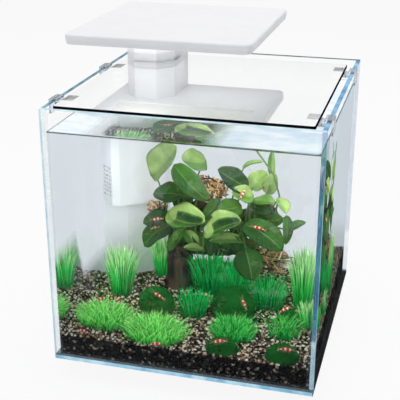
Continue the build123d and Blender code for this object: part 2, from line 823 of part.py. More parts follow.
def leaf_blade(base, tip, width, face):
    """Oval leaf: a sheet bent along its length, cut to the leaf's outline."""
    run = Vector(*tip) - Vector(*base)
    start = from_stump(base)
    length = run.length
    along_leaf = run.normalized()
    upper = upper_side(run, face)
    crown = leaf_crown * length
    with BuildPart() as blade:
        with BuildSketch(Plane(origin=start, x_dir=along_leaf, z_dir=along_leaf.cross(upper))):
            with BuildLine():
                ThreePointArc((0, 0), (length / 2, crown), (length, 0))
                Line((length, 0), (length, -leaf_t))
                ThreePointArc((length, -leaf_t), (length / 2, crown - leaf_t), (0, -leaf_t))
                Line((0, -leaf_t), (0, 0))
            make_face()
        extrude(amount=width, both=True)
        with BuildSketch(Plane(origin=start, x_dir=along_leaf, z_dir=upper)):
            with BuildLine():
                ThreePointArc((0, 0), (leaf_widest * length, width / 2), (length, 0))
                ThreePointArc((length, 0), (leaf_widest * length, -width / 2), (0, 0))
            make_face()
        extrude(amount=crown + 3 * leaf_t, both=True, mode=Mode.INTERSECT)
    return blade.part


def leaf_stalk(root_x, base, tip, face):
    """Stalk from the rhizome that runs a little way into the leaf."""
    start = Vector(*on_rhizome(root_x))
    run = Vector(*tip) - Vector(*base)
    upper = upper_side(run, face)
    rise = 4 * leaf_crown * stalk_reach * (1 - stalk_reach) * run.length
    end = Vector(*from_stump(base)) + run * stalk_reach + upper * (rise - leaf_t / 2)
    middle = (start + end) * 0.5 + Vector(0, 0, stalk_bow * (end - start).length)
    points = [tuple(start), tuple(middle), tuple(end)]
    return bent_rod(points, [stalk_r, stalk_r, stalk_tip * stalk_r], stalk_sides)


stalks = [leaf_stalk(root_x, base, tip, face) for root_x, base, tip, width, face in leaves]
blades = [leaf_blade(base, tip, width, face) for root_x, base, tip, width, face in leaves]
stem = bent_rod([from_stump(p) for p in bare_stem], [stalk_r] * len(bare_stem), stalk_sides)
rhizome_radii = [rhizome_r * share for share in rhizome_taper]
rhizome = bent_rod([from_stump(p) for p in rhizome_path], rhizome_radii, limb_sides)
with BuildPart() as broad_leaf_plant:
    add(rhizome)
    add(stalks + blades + [stem])
    add(driftwood.part, mode=Mode.SUBTRACT)
save(broad_leaf_plant.part, "broad_leaf_plant")

# Grass clumps and carpets: name, place, plug radius, spread of the tips, height, blades
tufts = (
    ("grass_tall_middle", at(-0.73, 0.01), 13.0, 22.0, 66.0, 28),
    ("grass_tall_back", at(-0.5, 0.53), 9.0, 14.0, 52.0, 16),
    ("grass_tall_right", at(0.81, 0.16), 12.0, 19.0, 80.0, 28),
    ("grass_dark_wood", at(0.0, 0.3), 15.0, 20.0, 45.0, 24),
    ("grass_dark_middle", at(0.21, 0.19), 10.0, 14.0, 44.0, 16),
    ("grass_dark_front", at(-0.03, -0.28), 12.0, 17.0, 29.0, 20),
    ("grass_dark_right", at(0.52, 0.11), 16.0, 22.0, 35.0, 26),
    ("grass_low_right", at(0.89, -0.22), 9.0, 12.0, 32.0, 14),
    ("carpet_left", at(-0.71, -0.6), 33.0, 33.0, 20.0, 56),
    ("carpet_middle", at(-0.26, -0.75), 34.0, 34.0, 21.0, 56),
    ("carpet_right", at(0.35, -0.56), 21.0, 26.0, 21.0, 34),
    ("carpet_small", at(0.72, -0.43), 12.0, 16.0, 26.0, 16),
)
moss_balls = (
    ("moss_ball_left", at(-0.34, -0.33), 23.0, 41.0),
    ("moss_ball_middle", at(0.27, -0.16), 28.0, 42.0),
    ("moss_ball_right", at(0.72, -0.16), 13.0, 24.0),
    ("moss_cushion_left", at(0.3, -0.85), 21.0, 21.0),
    ("moss_cushion_right", at(0.77, -0.85), 21.0, 23.0),
)


def tuft(name, spot, plug_r, spread, height, count):
    """Grass on a round root plug that is set in the gravel."""
    x, y = spot
    top = ground(y) + plug_proud
    inner_r = plug_r - blade_w
    fan = []
    for i in range(count):
        share = sqrt((i + 0.5) / count)
        way = Vector(cos(i * golden_turn), sin(i * golden_turn)) * share
        tall = height * (1 - outer_blade_drop * share * share)
        foot = Vector(x, y, top - blade_sink) + way * inner_r
        tip = Vector(x, y, top + tall) + way * spread
        fan.append(strand(foot, tip, blade_w, blade_tip_w))
    with BuildPart() as clump:
        with BuildSketch(Plane.XY.offset(top - plug_t)):
            with Locations(spot):
                Circle(plug_r)
        extrude(amount=plug_t)
        add(fan)
    save(clump.part, name)


def moss_ball(name, spot, radius, height):
    """Ball of moss, flat where it rests in its hollow of the gravel."""
    x, y = spot
    seat = ground(y) - moss_seat
    with BuildPart() as ball:
        with Locations((x, y, seat + height - radius)):
            Sphere(radius)
        split(bisect_by=Plane.XY.offset(seat), keep=Keep.TOP)
    save(ball.part, name)


for row in tufts:
    tuft(*row)
for row in moss_balls:
    moss_ball(*row)

# Gravel: a sloping bed with a seat for each plant, ball, the stump and the column
with BuildPart() as gravel_bed:
    with BuildSketch(Plane.YZ):
        with BuildLine():
            Polyline(
                (-inner_d / 2, floor_top),
                (inner_d / 2, floor_top),
                (inner_d / 2, ground(inner_d / 2)),
                (-inner_d / 2, ground(-inner_d / 2)),
                close=True,
            )
        make_face()
    extrude(amount=inner_w / 2, both=True)
    add(silicone_beads.part, mode=Mode.SUBTRACT)
    with BuildSketch(Plane.XY.offset(floor_top)):
        outline(column_plan)
        offset(amount=bed_gap, kind=Kind.INTERSECTION, mode=Mode.REPLACE)
    extrude(amount=tank_h, mode=Mode.SUBTRACT)
    for name, spot, plug_r, spread, height, count in tufts:
        with BuildSketch(Plane.XY.offset(ground(spot[1]) + plug_proud - plug_t)):
            with Locations(spot):
                Circle(plug_r + bed_gap)
        extrude(amount=tank_h, mode=Mode.SUBTRACT)
    for name, spot, radius, height in moss_balls:
        mouth = max(0.0, height - radius - moss_seat - bed_slope * radius)
        with BuildSketch(Plane.XY.offset(ground(spot[1]) - moss_seat)):
            with Locations(spot):
                Circle(sqrt(radius**2 - mouth**2) + bed_gap)
        extrude(amount=tank_h, mode=Mode.SUBTRACT)
    add(stump, mode=Mode.SUBTRACT)
save(gravel_bed.part, "gravel_bed")
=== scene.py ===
"""Looks of a rimless cube aquarium on a low plinth.

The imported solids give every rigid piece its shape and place. This script gives them their
finish, and adds what is soft or fluid: water, gravel, grass, moss, wood, leaves and shrimps.
"""
from math import cos, pi, radians, sin, sqrt, tau
from random import Random

import bmesh
import bpy
from mathutils import Matrix, Vector, noise


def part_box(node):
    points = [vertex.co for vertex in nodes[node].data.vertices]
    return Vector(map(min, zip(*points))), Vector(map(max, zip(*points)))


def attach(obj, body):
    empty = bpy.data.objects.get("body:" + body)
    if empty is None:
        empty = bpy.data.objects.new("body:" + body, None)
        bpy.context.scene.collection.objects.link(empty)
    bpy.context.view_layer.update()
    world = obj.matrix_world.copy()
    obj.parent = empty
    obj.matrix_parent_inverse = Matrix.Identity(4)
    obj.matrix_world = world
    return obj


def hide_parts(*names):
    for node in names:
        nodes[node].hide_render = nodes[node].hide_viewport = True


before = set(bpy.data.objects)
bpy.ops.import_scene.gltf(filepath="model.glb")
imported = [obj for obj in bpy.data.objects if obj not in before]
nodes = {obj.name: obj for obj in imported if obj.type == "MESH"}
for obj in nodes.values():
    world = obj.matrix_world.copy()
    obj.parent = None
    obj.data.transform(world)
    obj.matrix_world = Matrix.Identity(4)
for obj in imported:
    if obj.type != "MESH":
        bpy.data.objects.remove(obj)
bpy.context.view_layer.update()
scene = bpy.context.scene

# Sizes and places in metres; what the frame holds is read from it
MM = 0.001
TANK = "tank"
left_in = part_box("left_pane")[1].x
right_in, right_out = (corner.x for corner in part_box("right_pane"))
front_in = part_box("front_pane")[1].y
back_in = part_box("back_pane")[0].y
floor_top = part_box("floor_pane")[1].z
rim_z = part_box("front_pane")[1].z
bed_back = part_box("gravel_bed")[1].z
bed_front = floor_top + 25 * MM
water_z = rim_z - 26 * MM
water_gap = 0.12 * MM
gravel_gap = 0.4 * MM
arris = 0.6 * MM
stump = Vector((-41 * MM, 51 * MM, floor_top))
golden_turn = pi * (3 - sqrt(5))


def ground(y):
    """Height of the gravel at a depth y."""
    return bed_front + (bed_back - bed_front) * (y - front_in) / (back_in - front_in)


def from_stump(place):
    """Point in metres from millimetres measured at the stump's axis on the floor pane."""
    return stump + Vector(place) * MM


def rgb(red, green, blue):
    """Linear colour from screen values of 0 to 255."""
    return tuple(
        c / 12.92 if c <= 0.04045 else ((c + 0.055) / 1.055) ** 2.4
        for c in (red / 255, green / 255, blue / 255)
    )


def grey(level):
    """Linear grey."""
    return (level,) * 3


# Materials
glass_ior = 1.5
water_ior = 1.333


class Nodes:
    """An emptied tree of shader nodes.

    What feeds a socket is a value, another socket, or a node that stands for its first output.
    """

    def __init__(self, tree):
        self.tree = tree
        self.tree.nodes.clear()

    def feed(self, socket, source):
        if isinstance(source, bpy.types.Node):
            source = source.outputs[0]
        if isinstance(source, bpy.types.NodeSocket):
            self.tree.links.new(source, socket)
        else:
            socket.default_value = source

    def node(self, kind, *in_order, **by_name):
        made = self.tree.nodes.new("ShaderNode" + kind)
        for socket, source in zip(made.inputs, in_order):
            self.feed(socket, source)
        for name, source in by_name.items():
            self.feed(made.inputs[name.replace("_", " ")], source)
        return made

    def maths(self, operation, *values):
        made = self.node("Math", *values)
        made.operation = operation
        return made

    def times(self, first, second):
        return self.maths("MULTIPLY", first, second)

    def mix(self, factor, first, second):
        return self.node("MixShader", factor, first, second)

    def seen_directly(self):
        """1 for rays from the camera, in mirrors and through glass, else 0."""
        path = self.node("LightPath")
        seen = path.outputs["Is Camera Ray"]
        for name in ("Is Glossy Ray", "Is Transmission Ray"):
            seen = self.maths("MAXIMUM", seen, path.outputs[name])
        return seen


class Look(Nodes):
    """A procedural material: a main shader and the textures that feed it."""

    def __init__(self, name, colour, **settings):
        self.material = bpy.data.materials.new(name)
        self.material.use_nodes = True
        super().__init__(self.material.node_tree)
        self.output = self.node("OutputMaterial")
        self.main = self.shader(colour, **settings)
        self.show(self.main)

    def show(self, surface):
        self.feed(self.output.inputs["Surface"], surface)

    def shader(self, colour, **settings):
        return self.node("BsdfPrincipled", Base_Color=(*colour, 1.0), **settings)

    def paint(self, colour):
        self.feed(self.main.inputs["Base Color"], colour)

    def lit_from_within(self, shader, colour):
        """Paints a shader and gives its own faint light the same colour."""
        for socket in ("Base Color", "Emission Color"):
            self.feed(shader.inputs[socket], colour)

    def bump(self, height, depth):
        self.feed(self.main.inputs["Normal"], self.node("Bump", Distance=depth, Height=height))

    def let_lamps_through(self, surface, tint):
        """Rays from lamps pass straight through, so that what is inside gets light."""
        clear = self.node("BsdfTransparent", Color=(*tint, 1.0))
        path = self.node("LightPath")
        self.show(self.mix(path.outputs["Is Shadow Ray"], surface, clear))

    def place(self, stretch=(1.0, 1.0, 1.0)):
        """The piece's own coordinates in metres."""
        return self.node("Mapping", Scale=stretch, Vector=self.node("TexCoord").outputs["Object"])

    def part(self, vector, number):
        """One coordinate of a vector."""
        return self.node("SeparateXYZ", vector).outputs[number]

    def axis(self, number):
        """One of the piece's own coordinates in metres."""
        return self.part(self.place(), number)

    def noise(self, size, detail=3.0, stretch=(1.0, 1.0, 1.0)):
        """Cloudy noise with blotches of about that size."""
        return self.node("TexNoise", Scale=1 / size, Detail=detail, Vector=self.place(stretch))

    def cells(self, size):
        """Random grey for each cell of about that size."""
        made = self.node("TexVoronoi", Scale=1 / size, Vector=self.place())
        return self.node("SeparateColor", made.outputs["Color"])

    def fade(self, value, start, end):
        """0 to 1 while a value goes from start to end."""
        return self.node("MapRange", Value=value, From_Min=start, From_Max=end)

    def facing(self, axis):
        """1 where the surface looks along an axis, to either side, else 0."""
        along = self.part(self.node("NewGeometry").outputs["Normal"], axis)
        return self.maths("GREATER_THAN", self.maths("ABSOLUTE", along), 0.8)

    def above(self, low, high):
        """1 where the surface lies straight above a box, else 0."""
        inside = 1.0
        for axis in (0, 1):
            place = self.axis(axis)
            for test, limit in (("GREATER_THAN", low[axis]), ("LESS_THAN", high[axis])):
                inside = self.times(inside, self.maths(test, place, limit))
        return inside

    def low_view(self):
        """0 where the surface is seen straight on, 1 where it is seen along itself."""
        return self.node("LayerWeight", Blend=0.5).outputs["Facing"]

    def chance(self):
        """A random number for each loose part of the mesh."""
        return self.node("NewGeometry").outputs["Random Per Island"]

    def mark(self, number):
        """One of a piece's own values: 0 tone, 1 share of length, 2 share of width."""
        source = self.node("Attribute")
        source.attribute_name = "marks"
        return self.part(source.outputs["Vector"], number)

    def ramp(self, factor, *stops, steps=False):
        """Colours along a factor; each stop is a place and a colour."""
        made = self.node("ValToRGB", factor)
        band = made.color_ramp
        band.interpolation = "CONSTANT" if steps else "LINEAR"
        while len(band.elements) < len(stops):
            band.elements.new(1.0)
        for element, (position, colour) in zip(band.elements, stops):
            element.position = position
            element.color = (*colour, 1.0)
        return made

    def blend(self, kind, factor, first, second):
        """Mixes two colours, given as tuples, sockets or nodes."""
        made = self.node("Mix")
        made.data_type = "RGBA"
        made.blend_type = kind
        for number, source in ((0, factor), (6, first), (7, second)):
            self.feed(made.inputs[number], (*source, 1.0) if isinstance(source, tuple) else source)
        return made.outputs[2]


def wet(name, colour, roughness, **settings):
    """Start of a look for what is under water and has no gloss."""
    return Look(name, colour, Roughness=roughness, Specular_IOR_Level=0.0, **settings)


def plastic(name, colour, roughness, grain=0.6 * MM, depth=0.01 * MM, spread=0.012):
    """Moulded plastic with a fine grain and slightly uneven colour."""
    look = Look(name, colour, Roughness=roughness, Specular_IOR_Level=0.45)
    low = tuple(c * (1 - spread) for c in colour)
    high = tuple(min(1.0, c * (1 + spread)) for c in colour)
    look.paint(look.ramp(look.noise(25 * MM), (0.35, low), (0.65, high)))
    look.bump(look.noise(grain), depth)
    return look


# Glass: the height under which an edge beside the bed is painted pale and glows more, which is
# painted light, and how much the cover still reflects over a clip
painted_pale_below = floor_top + 60 * MM
shine_on_clips = 0.35


def glass(
    name, axis, edge, right=None, low=None, foot=None, top=None,
    body=1.0, glow=0.2, shade=None, clips=(), gloss=0.06,
):
    """Clear pane whose cut edges, not square to the given axis, show the glass's own colour and glow a
    little with painted light.

    An edge has a dark and a light colour. Edges at the tank's right end, beside the bed, underneath
    and on top may have their own, which are painted light and shade. Beside the bed an edge is
    painted pale and glows twice as much. Body is how much a side edge hides. A shade darkens the
    faces too.
    A pane that lies on clips reflects more and more as it is seen from lower down, less so on them.
    """
    look = Look(
        name, rgb(252, 254, 254), Roughness=0.0, IOR=glass_ior, Transmission_Weight=1.0, Alpha=gloss
    )
    streaks = look.noise(20 * MM, 2.0)

    def cut(colours, body, glow):
        dark, light = colours
        # Painted light: each cut edge glows a little in its own colours.
        made = look.shader(
            light, Roughness=0.3, Specular_IOR_Level=0.0, Alpha=body, Emission_Strength=glow
        )
        look.lit_from_within(made, look.ramp(streaks, (0.35, dark), (0.65, light)))
        return made

    def at_end(axis, end, inwards):
        """1 on the outermost cut at an end of the tank, else 0."""
        return look.fade(look.axis(axis), end + inwards * arris, end + inwards * arris / 2)

    edges = cut(edge, body, glow)
    # Painted light: beside the bed the edge is painted pale and glows twice as much.
    if low:
        painted_pale_beside_bed = look.fade(look.axis(2), painted_pale_below + 2 * MM, painted_pale_below - 2 * MM)
        edges = look.mix(painted_pale_beside_bed, edges, cut(low, 0.9, 2 * glow))
    # Painted light and shade: at the right end, the foot and the top the edges take colours of their own.
    if right:
        edges = look.mix(at_end(0, right_out, -1), edges, cut(right, body, glow))
    if foot:
        edges = look.mix(at_end(2, floor_top, 1), edges, cut(foot, 1.0, glow))
    if top:
        edges = look.mix(at_end(2, rim_z, -1), edges, cut(top, 0.9, glow))
    face = look.main
    if shade:
        face = look.shader(shade, Roughness=0.1, Alpha=0.85)
    if clips:
        mirror = look.shader(rgb(253, 254, 254), Roughness=0.02, Metallic=1.0)
        strength = look.ramp(look.low_view(), (0.2, grey(0.08)), (0.5, grey(0.9)))
        for clip in clips:
            clear_of = look.maths("LESS_THAN", look.above(*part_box(clip)), 0.5)
            strength = look.times(strength, look.maths("MAXIMUM", clear_of, shine_on_clips))
        face = look.mix(strength, face, mirror)
    look.let_lamps_through(look.mix(look.facing(axis), edges, face), rgb(240, 248, 250))
    return look


def clear_plastic():
    """Clear moulding with painted shade: it turns dark where it is seen along its surface."""
    look = Look("clear_plastic", rgb(240, 246, 249), Roughness=0.06, IOR=1.49, Transmission_Weight=0.92)
    look.bump(look.noise(4 * MM), 0.05 * MM)
    # Painted shade: a dark outline where the moulding is seen along its surface.
    dark = look.shader(rgb(52, 58, 62), Roughness=0.2)
    share = look.ramp(look.low_view(), (0.6, grey(0.0)), (0.92, grey(0.85)))
    look.let_lamps_through(look.mix(share, look.main, dark), rgb(225, 232, 236))
    return look


def silicone():
    """Thin clear film, a little milky."""
    look = Look("clear_silicone", rgb(225, 236, 242), Roughness=0.35, Alpha=0.05)
    look.paint(look.ramp(look.noise(8 * MM), (0.3, rgb(205, 220, 228)), (0.7, rgb(236, 244, 248))))
    return look


# Water: heights between which its sides stop mirroring, and how much higher that is near the
# front; a line of painted shade at the surface; and the places along x between which the pale
# film, a painted reflection on the surface, comes in
mirror_none, mirror_full = 108 * MM, 84 * MM
mirror_rise, rise_none, rise_full = 54 * MM, -36 * MM, -62 * MM
meniscus_full, meniscus_none = 1.0 * MM, 1.3 * MM
painted_reflection_left = -92 * MM, -112 * MM
painted_reflection_right = 20 * MM, 45 * MM
painted_reflection_share = 0.85


def water_look():
    """Water: a bending surface with a pale film, which is a painted reflection, and sides that show
    through the glass without glare. The sides facing along x are painted darker, and a dark line at
    their top is painted: both painted shade.

    Seen from inside, the sides mirror the planting low down, where the angle is flat enough. The
    surface bends as much as glass, so that the bed shows in it.
    """
    look = Look("water", rgb(246, 250, 252), Roughness=0.0, IOR=glass_ior, Transmission_Weight=1.0)
    from_inside = look.node("NewGeometry").outputs["Backfacing"]

    # Painted shade: the sides that face along x pass less light than the rest.
    tint = look.blend("MIX", look.facing(0), rgb(250, 253, 254), rgb(234, 240, 243))
    inwards = look.node("BsdfRefraction", Roughness=0.0, IOR=water_ior, Color=tint)
    outwards = look.node("BsdfTransparent", Color=(*rgb(226, 231, 236), 1.0))
    mirror = look.shader(rgb(226, 234, 240), Roughness=0.0, Metallic=1.0)
    flat = look.node("Fresnel", IOR=water_ior)
    rise = look.times(look.fade(look.axis(1), rise_none, rise_full), mirror_rise)
    low = look.fade(look.maths("SUBTRACT", look.axis(2), rise), mirror_none, mirror_full)
    leaving = look.mix(look.times(flat, low), outwards, mirror)
    side = look.mix(from_inside, inwards, leaving)
    # Painted shade: a dark band along the top of the sides, at the meniscus.
    meniscus_shade = look.node("BsdfTransparent", Color=(*rgb(120, 130, 132), 1.0))
    at_top = look.fade(look.axis(2), water_z - meniscus_none, water_z - meniscus_full)
    side = look.mix(at_top, side, meniscus_shade)

    # The pale film is a painted reflection on the surface, with a little painted glow and painted
    # ripples; it shows near the ends, seen low and from above.
    film = look.shader(rgb(238, 244, 251), Roughness=0.2, Emission_Strength=0.3)
    waves = look.noise(22 * MM, 3.0, (0.5, 1.0, 1.0))
    look.lit_from_within(film, look.ramp(waves, (0.35, rgb(208, 222, 240)), (0.6, rgb(248, 251, 255))))
    ends = [look.fade(look.axis(0), *limits) for limits in (painted_reflection_right, painted_reflection_left)]
    at_ends = look.maths("MAXIMUM", *ends)
    seen_low = look.times(look.fade(look.low_view(), 0.3, 0.55), painted_reflection_share)
    from_above = look.maths("SUBTRACT", 1.0, from_inside)
    pale = look.times(look.times(at_ends, seen_low), from_above)
    surface = look.mix(pale, look.main, film)
    look.let_lamps_through(look.mix(look.facing(2), side, surface), rgb(248, 251, 252))
    return look


def gravel_look():
    """Dark gravel with tan and beige grains, for the flat sides against the glass."""
    look = wet("gravel", rgb(40, 34, 30), 0.75)
    cells = look.cells(2.6 * MM)
    grains = look.ramp(
        cells, (0.0, rgb(11, 11, 14)), (0.5, rgb(22, 20, 22)), (0.78, rgb(48, 44, 44)),
        (0.9, rgb(92, 84, 78)), (0.96, rgb(150, 138, 124)), steps=True,
    )
    look.paint(grains)
    look.bump(cells, 0.6 * MM)
    return look


def pebble_look():
    """Loose grains, each of one colour."""
    look = wet("pebbles", rgb(60, 50, 44), 0.7)
    grains = look.ramp(
        look.chance(), (0.0, rgb(18, 16, 17)), (0.28, rgb(46, 38, 35)), (0.42, rgb(108, 84, 68)),
        (0.55, rgb(182, 148, 116)), (0.7, rgb(228, 204, 172)), (0.85, rgb(248, 240, 226)), steps=True,
    )
    dirt = look.ramp(look.noise(1 * MM), (0.3, grey(0.65)), (0.7, grey(1.0)))
    look.paint(look.blend("MULTIPLY", 0.5, grains, dirt))
    return look


def grass_look(name, foot, middle, tip):
    """Blades with a painted glow in their own colour, lighter to their tips, some lighter than others."""
    # Painted light: the blades glow a little in their own colour.
    look = wet(name, middle, 0.5, Emission_Strength=0.3)
    length = look.ramp(look.mark(1), (0.0, foot), (0.45, middle), (1.0, tip))
    shade = look.ramp(
        look.mark(0), (0.0, rgb(84, 112, 116)), (0.4, rgb(190, 216, 186)), (0.8, grey(1.0))
    )
    look.lit_from_within(look.main, look.blend("MULTIPLY", 1.0, length, shade))
    return look


def moss_look():
    """Felt of mixed greens, with painted shade where it dips."""
    look = wet("moss", rgb(20, 90, 35), 0.85)
    felt = look.ramp(
        look.noise(2.2 * MM, 6.0),
        (0.3, rgb(8, 46, 18)), (0.5, rgb(18, 88, 32)), (0.7, rgb(44, 128, 48)),
    )
    # Painted shade: darker where the felt dips.
    dip_shade = look.ramp(look.mark(0), (0.0, grey(0.6)), (1.0, grey(1.0)))
    look.paint(look.blend("MULTIPLY", 1.0, felt, dip_shade))
    look.bump(look.noise(1.2 * MM, 6.0), 0.8 * MM)
    return look


def wood_look():
    """Dark bark with long grooves."""
    look = wet("driftwood", rgb(60, 50, 46), 0.8)
    bark = look.ramp(
        look.noise(9 * MM, 6.0, (1.0, 1.0, 0.25)),
        (0.32, rgb(20, 18, 19)), (0.5, rgb(50, 46, 45)), (0.68, rgb(92, 76, 62)),
    )
    look.paint(bark)
    look.bump(look.noise(3 * MM, 8.0, (1.0, 1.0, 0.2)), 1.2 * MM)
    return look


def root_look():
    """Sticks, each of one brown."""
    look = wet("roots", rgb(160, 125, 80), 0.7)
    browns = look.ramp(
        look.chance(), (0.0, rgb(66, 48, 40)), (0.2, rgb(156, 114, 78)),
        (0.42, rgb(220, 178, 126)), (0.7, rgb(246, 224, 182)), steps=True,
    )
    look.paint(browns)
    return look


leaf_veins = 9.0
leaf_vein_slant = 2.2


def leaf_look():
    """Waxy leaf: a tone for each leaf, which carries painted light and shade, a pale middle rib, side
    veins and cloudy patches.
    """
    look = Look("leaves", rgb(80, 140, 50), Roughness=0.38, Specular_IOR_Level=0.15)
    tone = look.ramp(
        look.mark(0), (0.0, rgb(14, 46, 22)), (0.3, rgb(36, 86, 30)),
        (0.6, rgb(72, 126, 44)), (1.0, rgb(190, 220, 130)),
    )
    clouds = look.ramp(look.noise(14 * MM, 5.0), (0.3, grey(0.55)), (0.65, grey(1.0)))
    body = look.blend("MULTIPLY", 1.0, tone, clouds)
    along = look.times(look.mark(1), leaf_veins)
    slant = look.times(look.mark(2), leaf_vein_slant)
    waves = look.maths("SINE", look.times(look.maths("SUBTRACT", along, slant), tau))
    vein = look.times(look.maths("GREATER_THAN", waves, 0.93), 0.1)
    rib = look.times(look.maths("LESS_THAN", look.mark(2), 0.05), 0.2)
    lines = look.maths("MAXIMUM", vein, rib)
    look.paint(look.blend("MIX", lines, body, rgb(178, 206, 120)))
    look.bump(look.noise(5 * MM, 4.0), 0.5 * MM)
    return look


def shrimp_look():
    """Red bands on a pearl white body."""
    look = Look("shrimps", rgb(220, 40, 30), Roughness=0.3, Specular_IOR_Level=0.2)
    red, white = rgb(214, 44, 28), rgb(250, 226, 214)
    bands = ((0.0, red), (0.2, white), (0.32, red), (0.52, white), (0.62, red), (0.8, white), (0.9, red))
    look.paint(look.ramp(look.mark(1), *bands, steps=True))
    return look


def foam(name, colour, cell):
    """Open foam with dark cells: painted shade, darker where its bump is low."""
    look = Look(name, colour, Roughness=0.9)
    dark = tuple(0.6 * c for c in colour)
    # Painted shade: the same noise as the bump makes the colour darker where the bump is low.
    look.paint(look.ramp(look.noise(cell), (0.35, dark), (0.6, colour)))
    look.bump(look.noise(cell), 0.3 * MM)
    return look


def metal(name, colour):
    """Brushed sheet."""
    look = Look(name, colour, Roughness=0.35, Metallic=0.8)
    look.bump(look.noise(0.8 * MM), 0.02 * MM)
    return look


def dress(look, *names):
    """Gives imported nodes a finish."""
    for name in names:
        slots = nodes[name].data.materials
        slots.clear()
        slots.append(look.material)


# Finish of the imported nodes; an edge has a dark and a light colour, the glass's own tint with
# painted light and shade chosen for each place
pale_edge = rgb(186, 212, 226), rgb(222, 240, 248)
cyan_edge = rgb(126, 182, 212), rgb(192, 230, 246)
teal_edge = rgb(74, 132, 176), rgb(150, 202, 232)
dark_edge = rgb(70, 76, 82), rgb(120, 132, 140)
rim_edge = rgb(66, 116, 140), rgb(128, 176, 196)
blue_edge = rgb(70, 128, 182), rgb(116, 174, 216)
foot_edge = rgb(14, 15, 18), rgb(30, 33, 38)
black_edge = rgb(4, 8, 10), rgb(14, 22, 26)
dress(glass("glass_front", 1, pale_edge, right=cyan_edge, top=pale_edge, body=0.85), "front_pane")
dress(glass("glass_back", 1, pale_edge, top=dark_edge, body=0.3, glow=0.0), "back_pane")
dress(glass("glass_left", 0, pale_edge, top=rim_edge, body=0.3), "left_pane")
dress(
    glass(
        "glass_right", 0, blue_edge, low=pale_edge, foot=foot_edge, top=teal_edge, body=0.75, gloss=0.01
    ),
    "right_pane",
)
dress(glass("glass_floor", 2, cyan_edge, right=foot_edge, shade=rgb(16, 18, 24)), "floor_pane")
clips = "clip_front_left", "clip_front_right", "clip_rear_left", "clip_rear_right"
dress(glass("glass_cover", 2, black_edge, glow=0.0, clips=clips), "cover_glass")
dress(clear_plastic(), *clips)
dress(silicone(), "silicone_beads")
dress(plastic("plinth_white", rgb(240, 240, 242), 0.35), "stand_plinth")
dress(
    plastic("tower_white", rgb(248, 248, 250), 0.45),
    "filter_column", "filter_head", "filter_cap", "outlet_nozzle",
)
dress(
    plastic("lamp_white", rgb(244, 244, 247), 0.38),
    "lamp_lower_shell", "lamp_upper_shell", "lamp_pillar",
)
dress(plastic("diffuser_white", rgb(246, 246, 244), 0.6), "lamp_diffuser")
dress(plastic("pump_black", rgb(38, 38, 41), 0.5), "pump_body", "pump_cover")
dress(plastic("rotor_grey", rgb(90, 92, 96), 0.45), "pump_impeller")
dress(plastic("shaft_ceramic", rgb(240, 236, 228), 0.2), "impeller_shaft")
dress(plastic("chip_yellow", rgb(240, 224, 130), 0.4), "led_chips")
dress(plastic("rubber_black", rgb(44, 44, 46), 0.8, 0.4 * MM, 0.05 * MM), "stand_feet", "cable_grommet")
dress(foam("mat_foam", rgb(208, 210, 212), 0.7 * MM), "foam_mat")
dress(foam("filter_foam", rgb(66, 70, 78), 1.1 * MM), "filter_sponge")
dress(metal("board_metal", rgb(222, 224, 226)), "led_board")


# Meshes
class Shape:
    """Points and faces of one piece, with a tone, a share of length and of width at each point."""

    def __init__(self):
        self.points = []
        self.faces = []
        self.marks = []

    def point(self, place, tone=1.0, along=0.0, across=0.0):
        self.points.append(tuple(place))
        self.marks += (tone, along, across)

    def grid(self, first, rows, columns):
        """Faces over rows by columns of points that start at first."""
        for i in range(rows):
            for j in range(columns):
                a = first + i * (columns + 1) + j
                b = a + columns + 1
                self.faces.append((a, a + 1, b + 1, b))

    def tube(self, path, radii, sides=5, tone=1.0, flat=1.0, hint=Vector((0.31, 0.9, 0.23))):
        """Closed tube of changing radius along a path."""
        first = len(self.points)
        last = len(path) - 1
        for i, (centre, radius) in enumerate(zip(path, radii)):
            way = (path[min(i + 1, last)] - path[max(i - 1, 0)]).normalized()
            side = way.cross(hint).normalized()
            other = side.cross(way)
            for k in range(sides):
                turn = tau * k / sides
                place = centre + side * (radius * cos(turn)) + other * (radius * flat * sin(turn))
                self.point(place, tone, i / last)
        for i in range(last):
            for k in range(sides):
                a = first + i * sides + k
                b = first + i * sides + (k + 1) % sides
                self.faces.append((a, b, b + sides, a + sides))
        self.faces.append(tuple(first + k for k in reversed(range(sides))))
        self.faces.append(tuple(first + last * sides + k for k in range(sides)))


def ball(subdivisions):
    """Points and faces of a ball of radius 1."""
    work = bmesh.new()
    bmesh.ops.create_icosphere(work, subdivisions=subdivisions, radius=1.0)
    points = [v.co.copy() for v in work.verts]
    faces = [tuple(v.index for v in f.verts) for f in work.faces]
    work.free()
    return points, faces


def bow(start, end, lift, steps):
    """Path from start to end that is pushed aside in the middle."""
    shares = [i / steps for i in range(steps + 1)]
    return [start.lerp(end, share) + lift * (4 * share * (1 - share)) for share in shares]


def put(name, data):
    """New object in the scene."""
    made = bpy.data.objects.new(name, data)
    scene.collection.objects.link(made)
    return made


def piece(shape, name, look, replaced=(), smooth=True, flat_below=-2.0, body=TANK):
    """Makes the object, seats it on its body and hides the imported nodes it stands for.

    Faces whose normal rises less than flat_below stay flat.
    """
    mesh = bpy.data.meshes.new(name)
    mesh.from_pydata(shape.points, [], shape.faces)
    marks = mesh.attributes.new("marks", "FLOAT_VECTOR", "POINT")
    marks.data.foreach_set("vector", shape.marks)
    work = bmesh.new()
    work.from_mesh(mesh)
    bmesh.ops.remove_doubles(work, verts=work.verts, dist=1e-6)
    bmesh.ops.recalc_face_normals(work, faces=work.faces)
    work.to_mesh(mesh)
    work.free()
    rounded = [smooth and face.normal.z > flat_below for face in mesh.polygons]
    mesh.polygons.foreach_set("use_smooth", rounded)
    mesh.materials.append(look.material)
    made = put(name, mesh)
    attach(made, body)
    if replaced:
        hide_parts(*replaced)
    return made


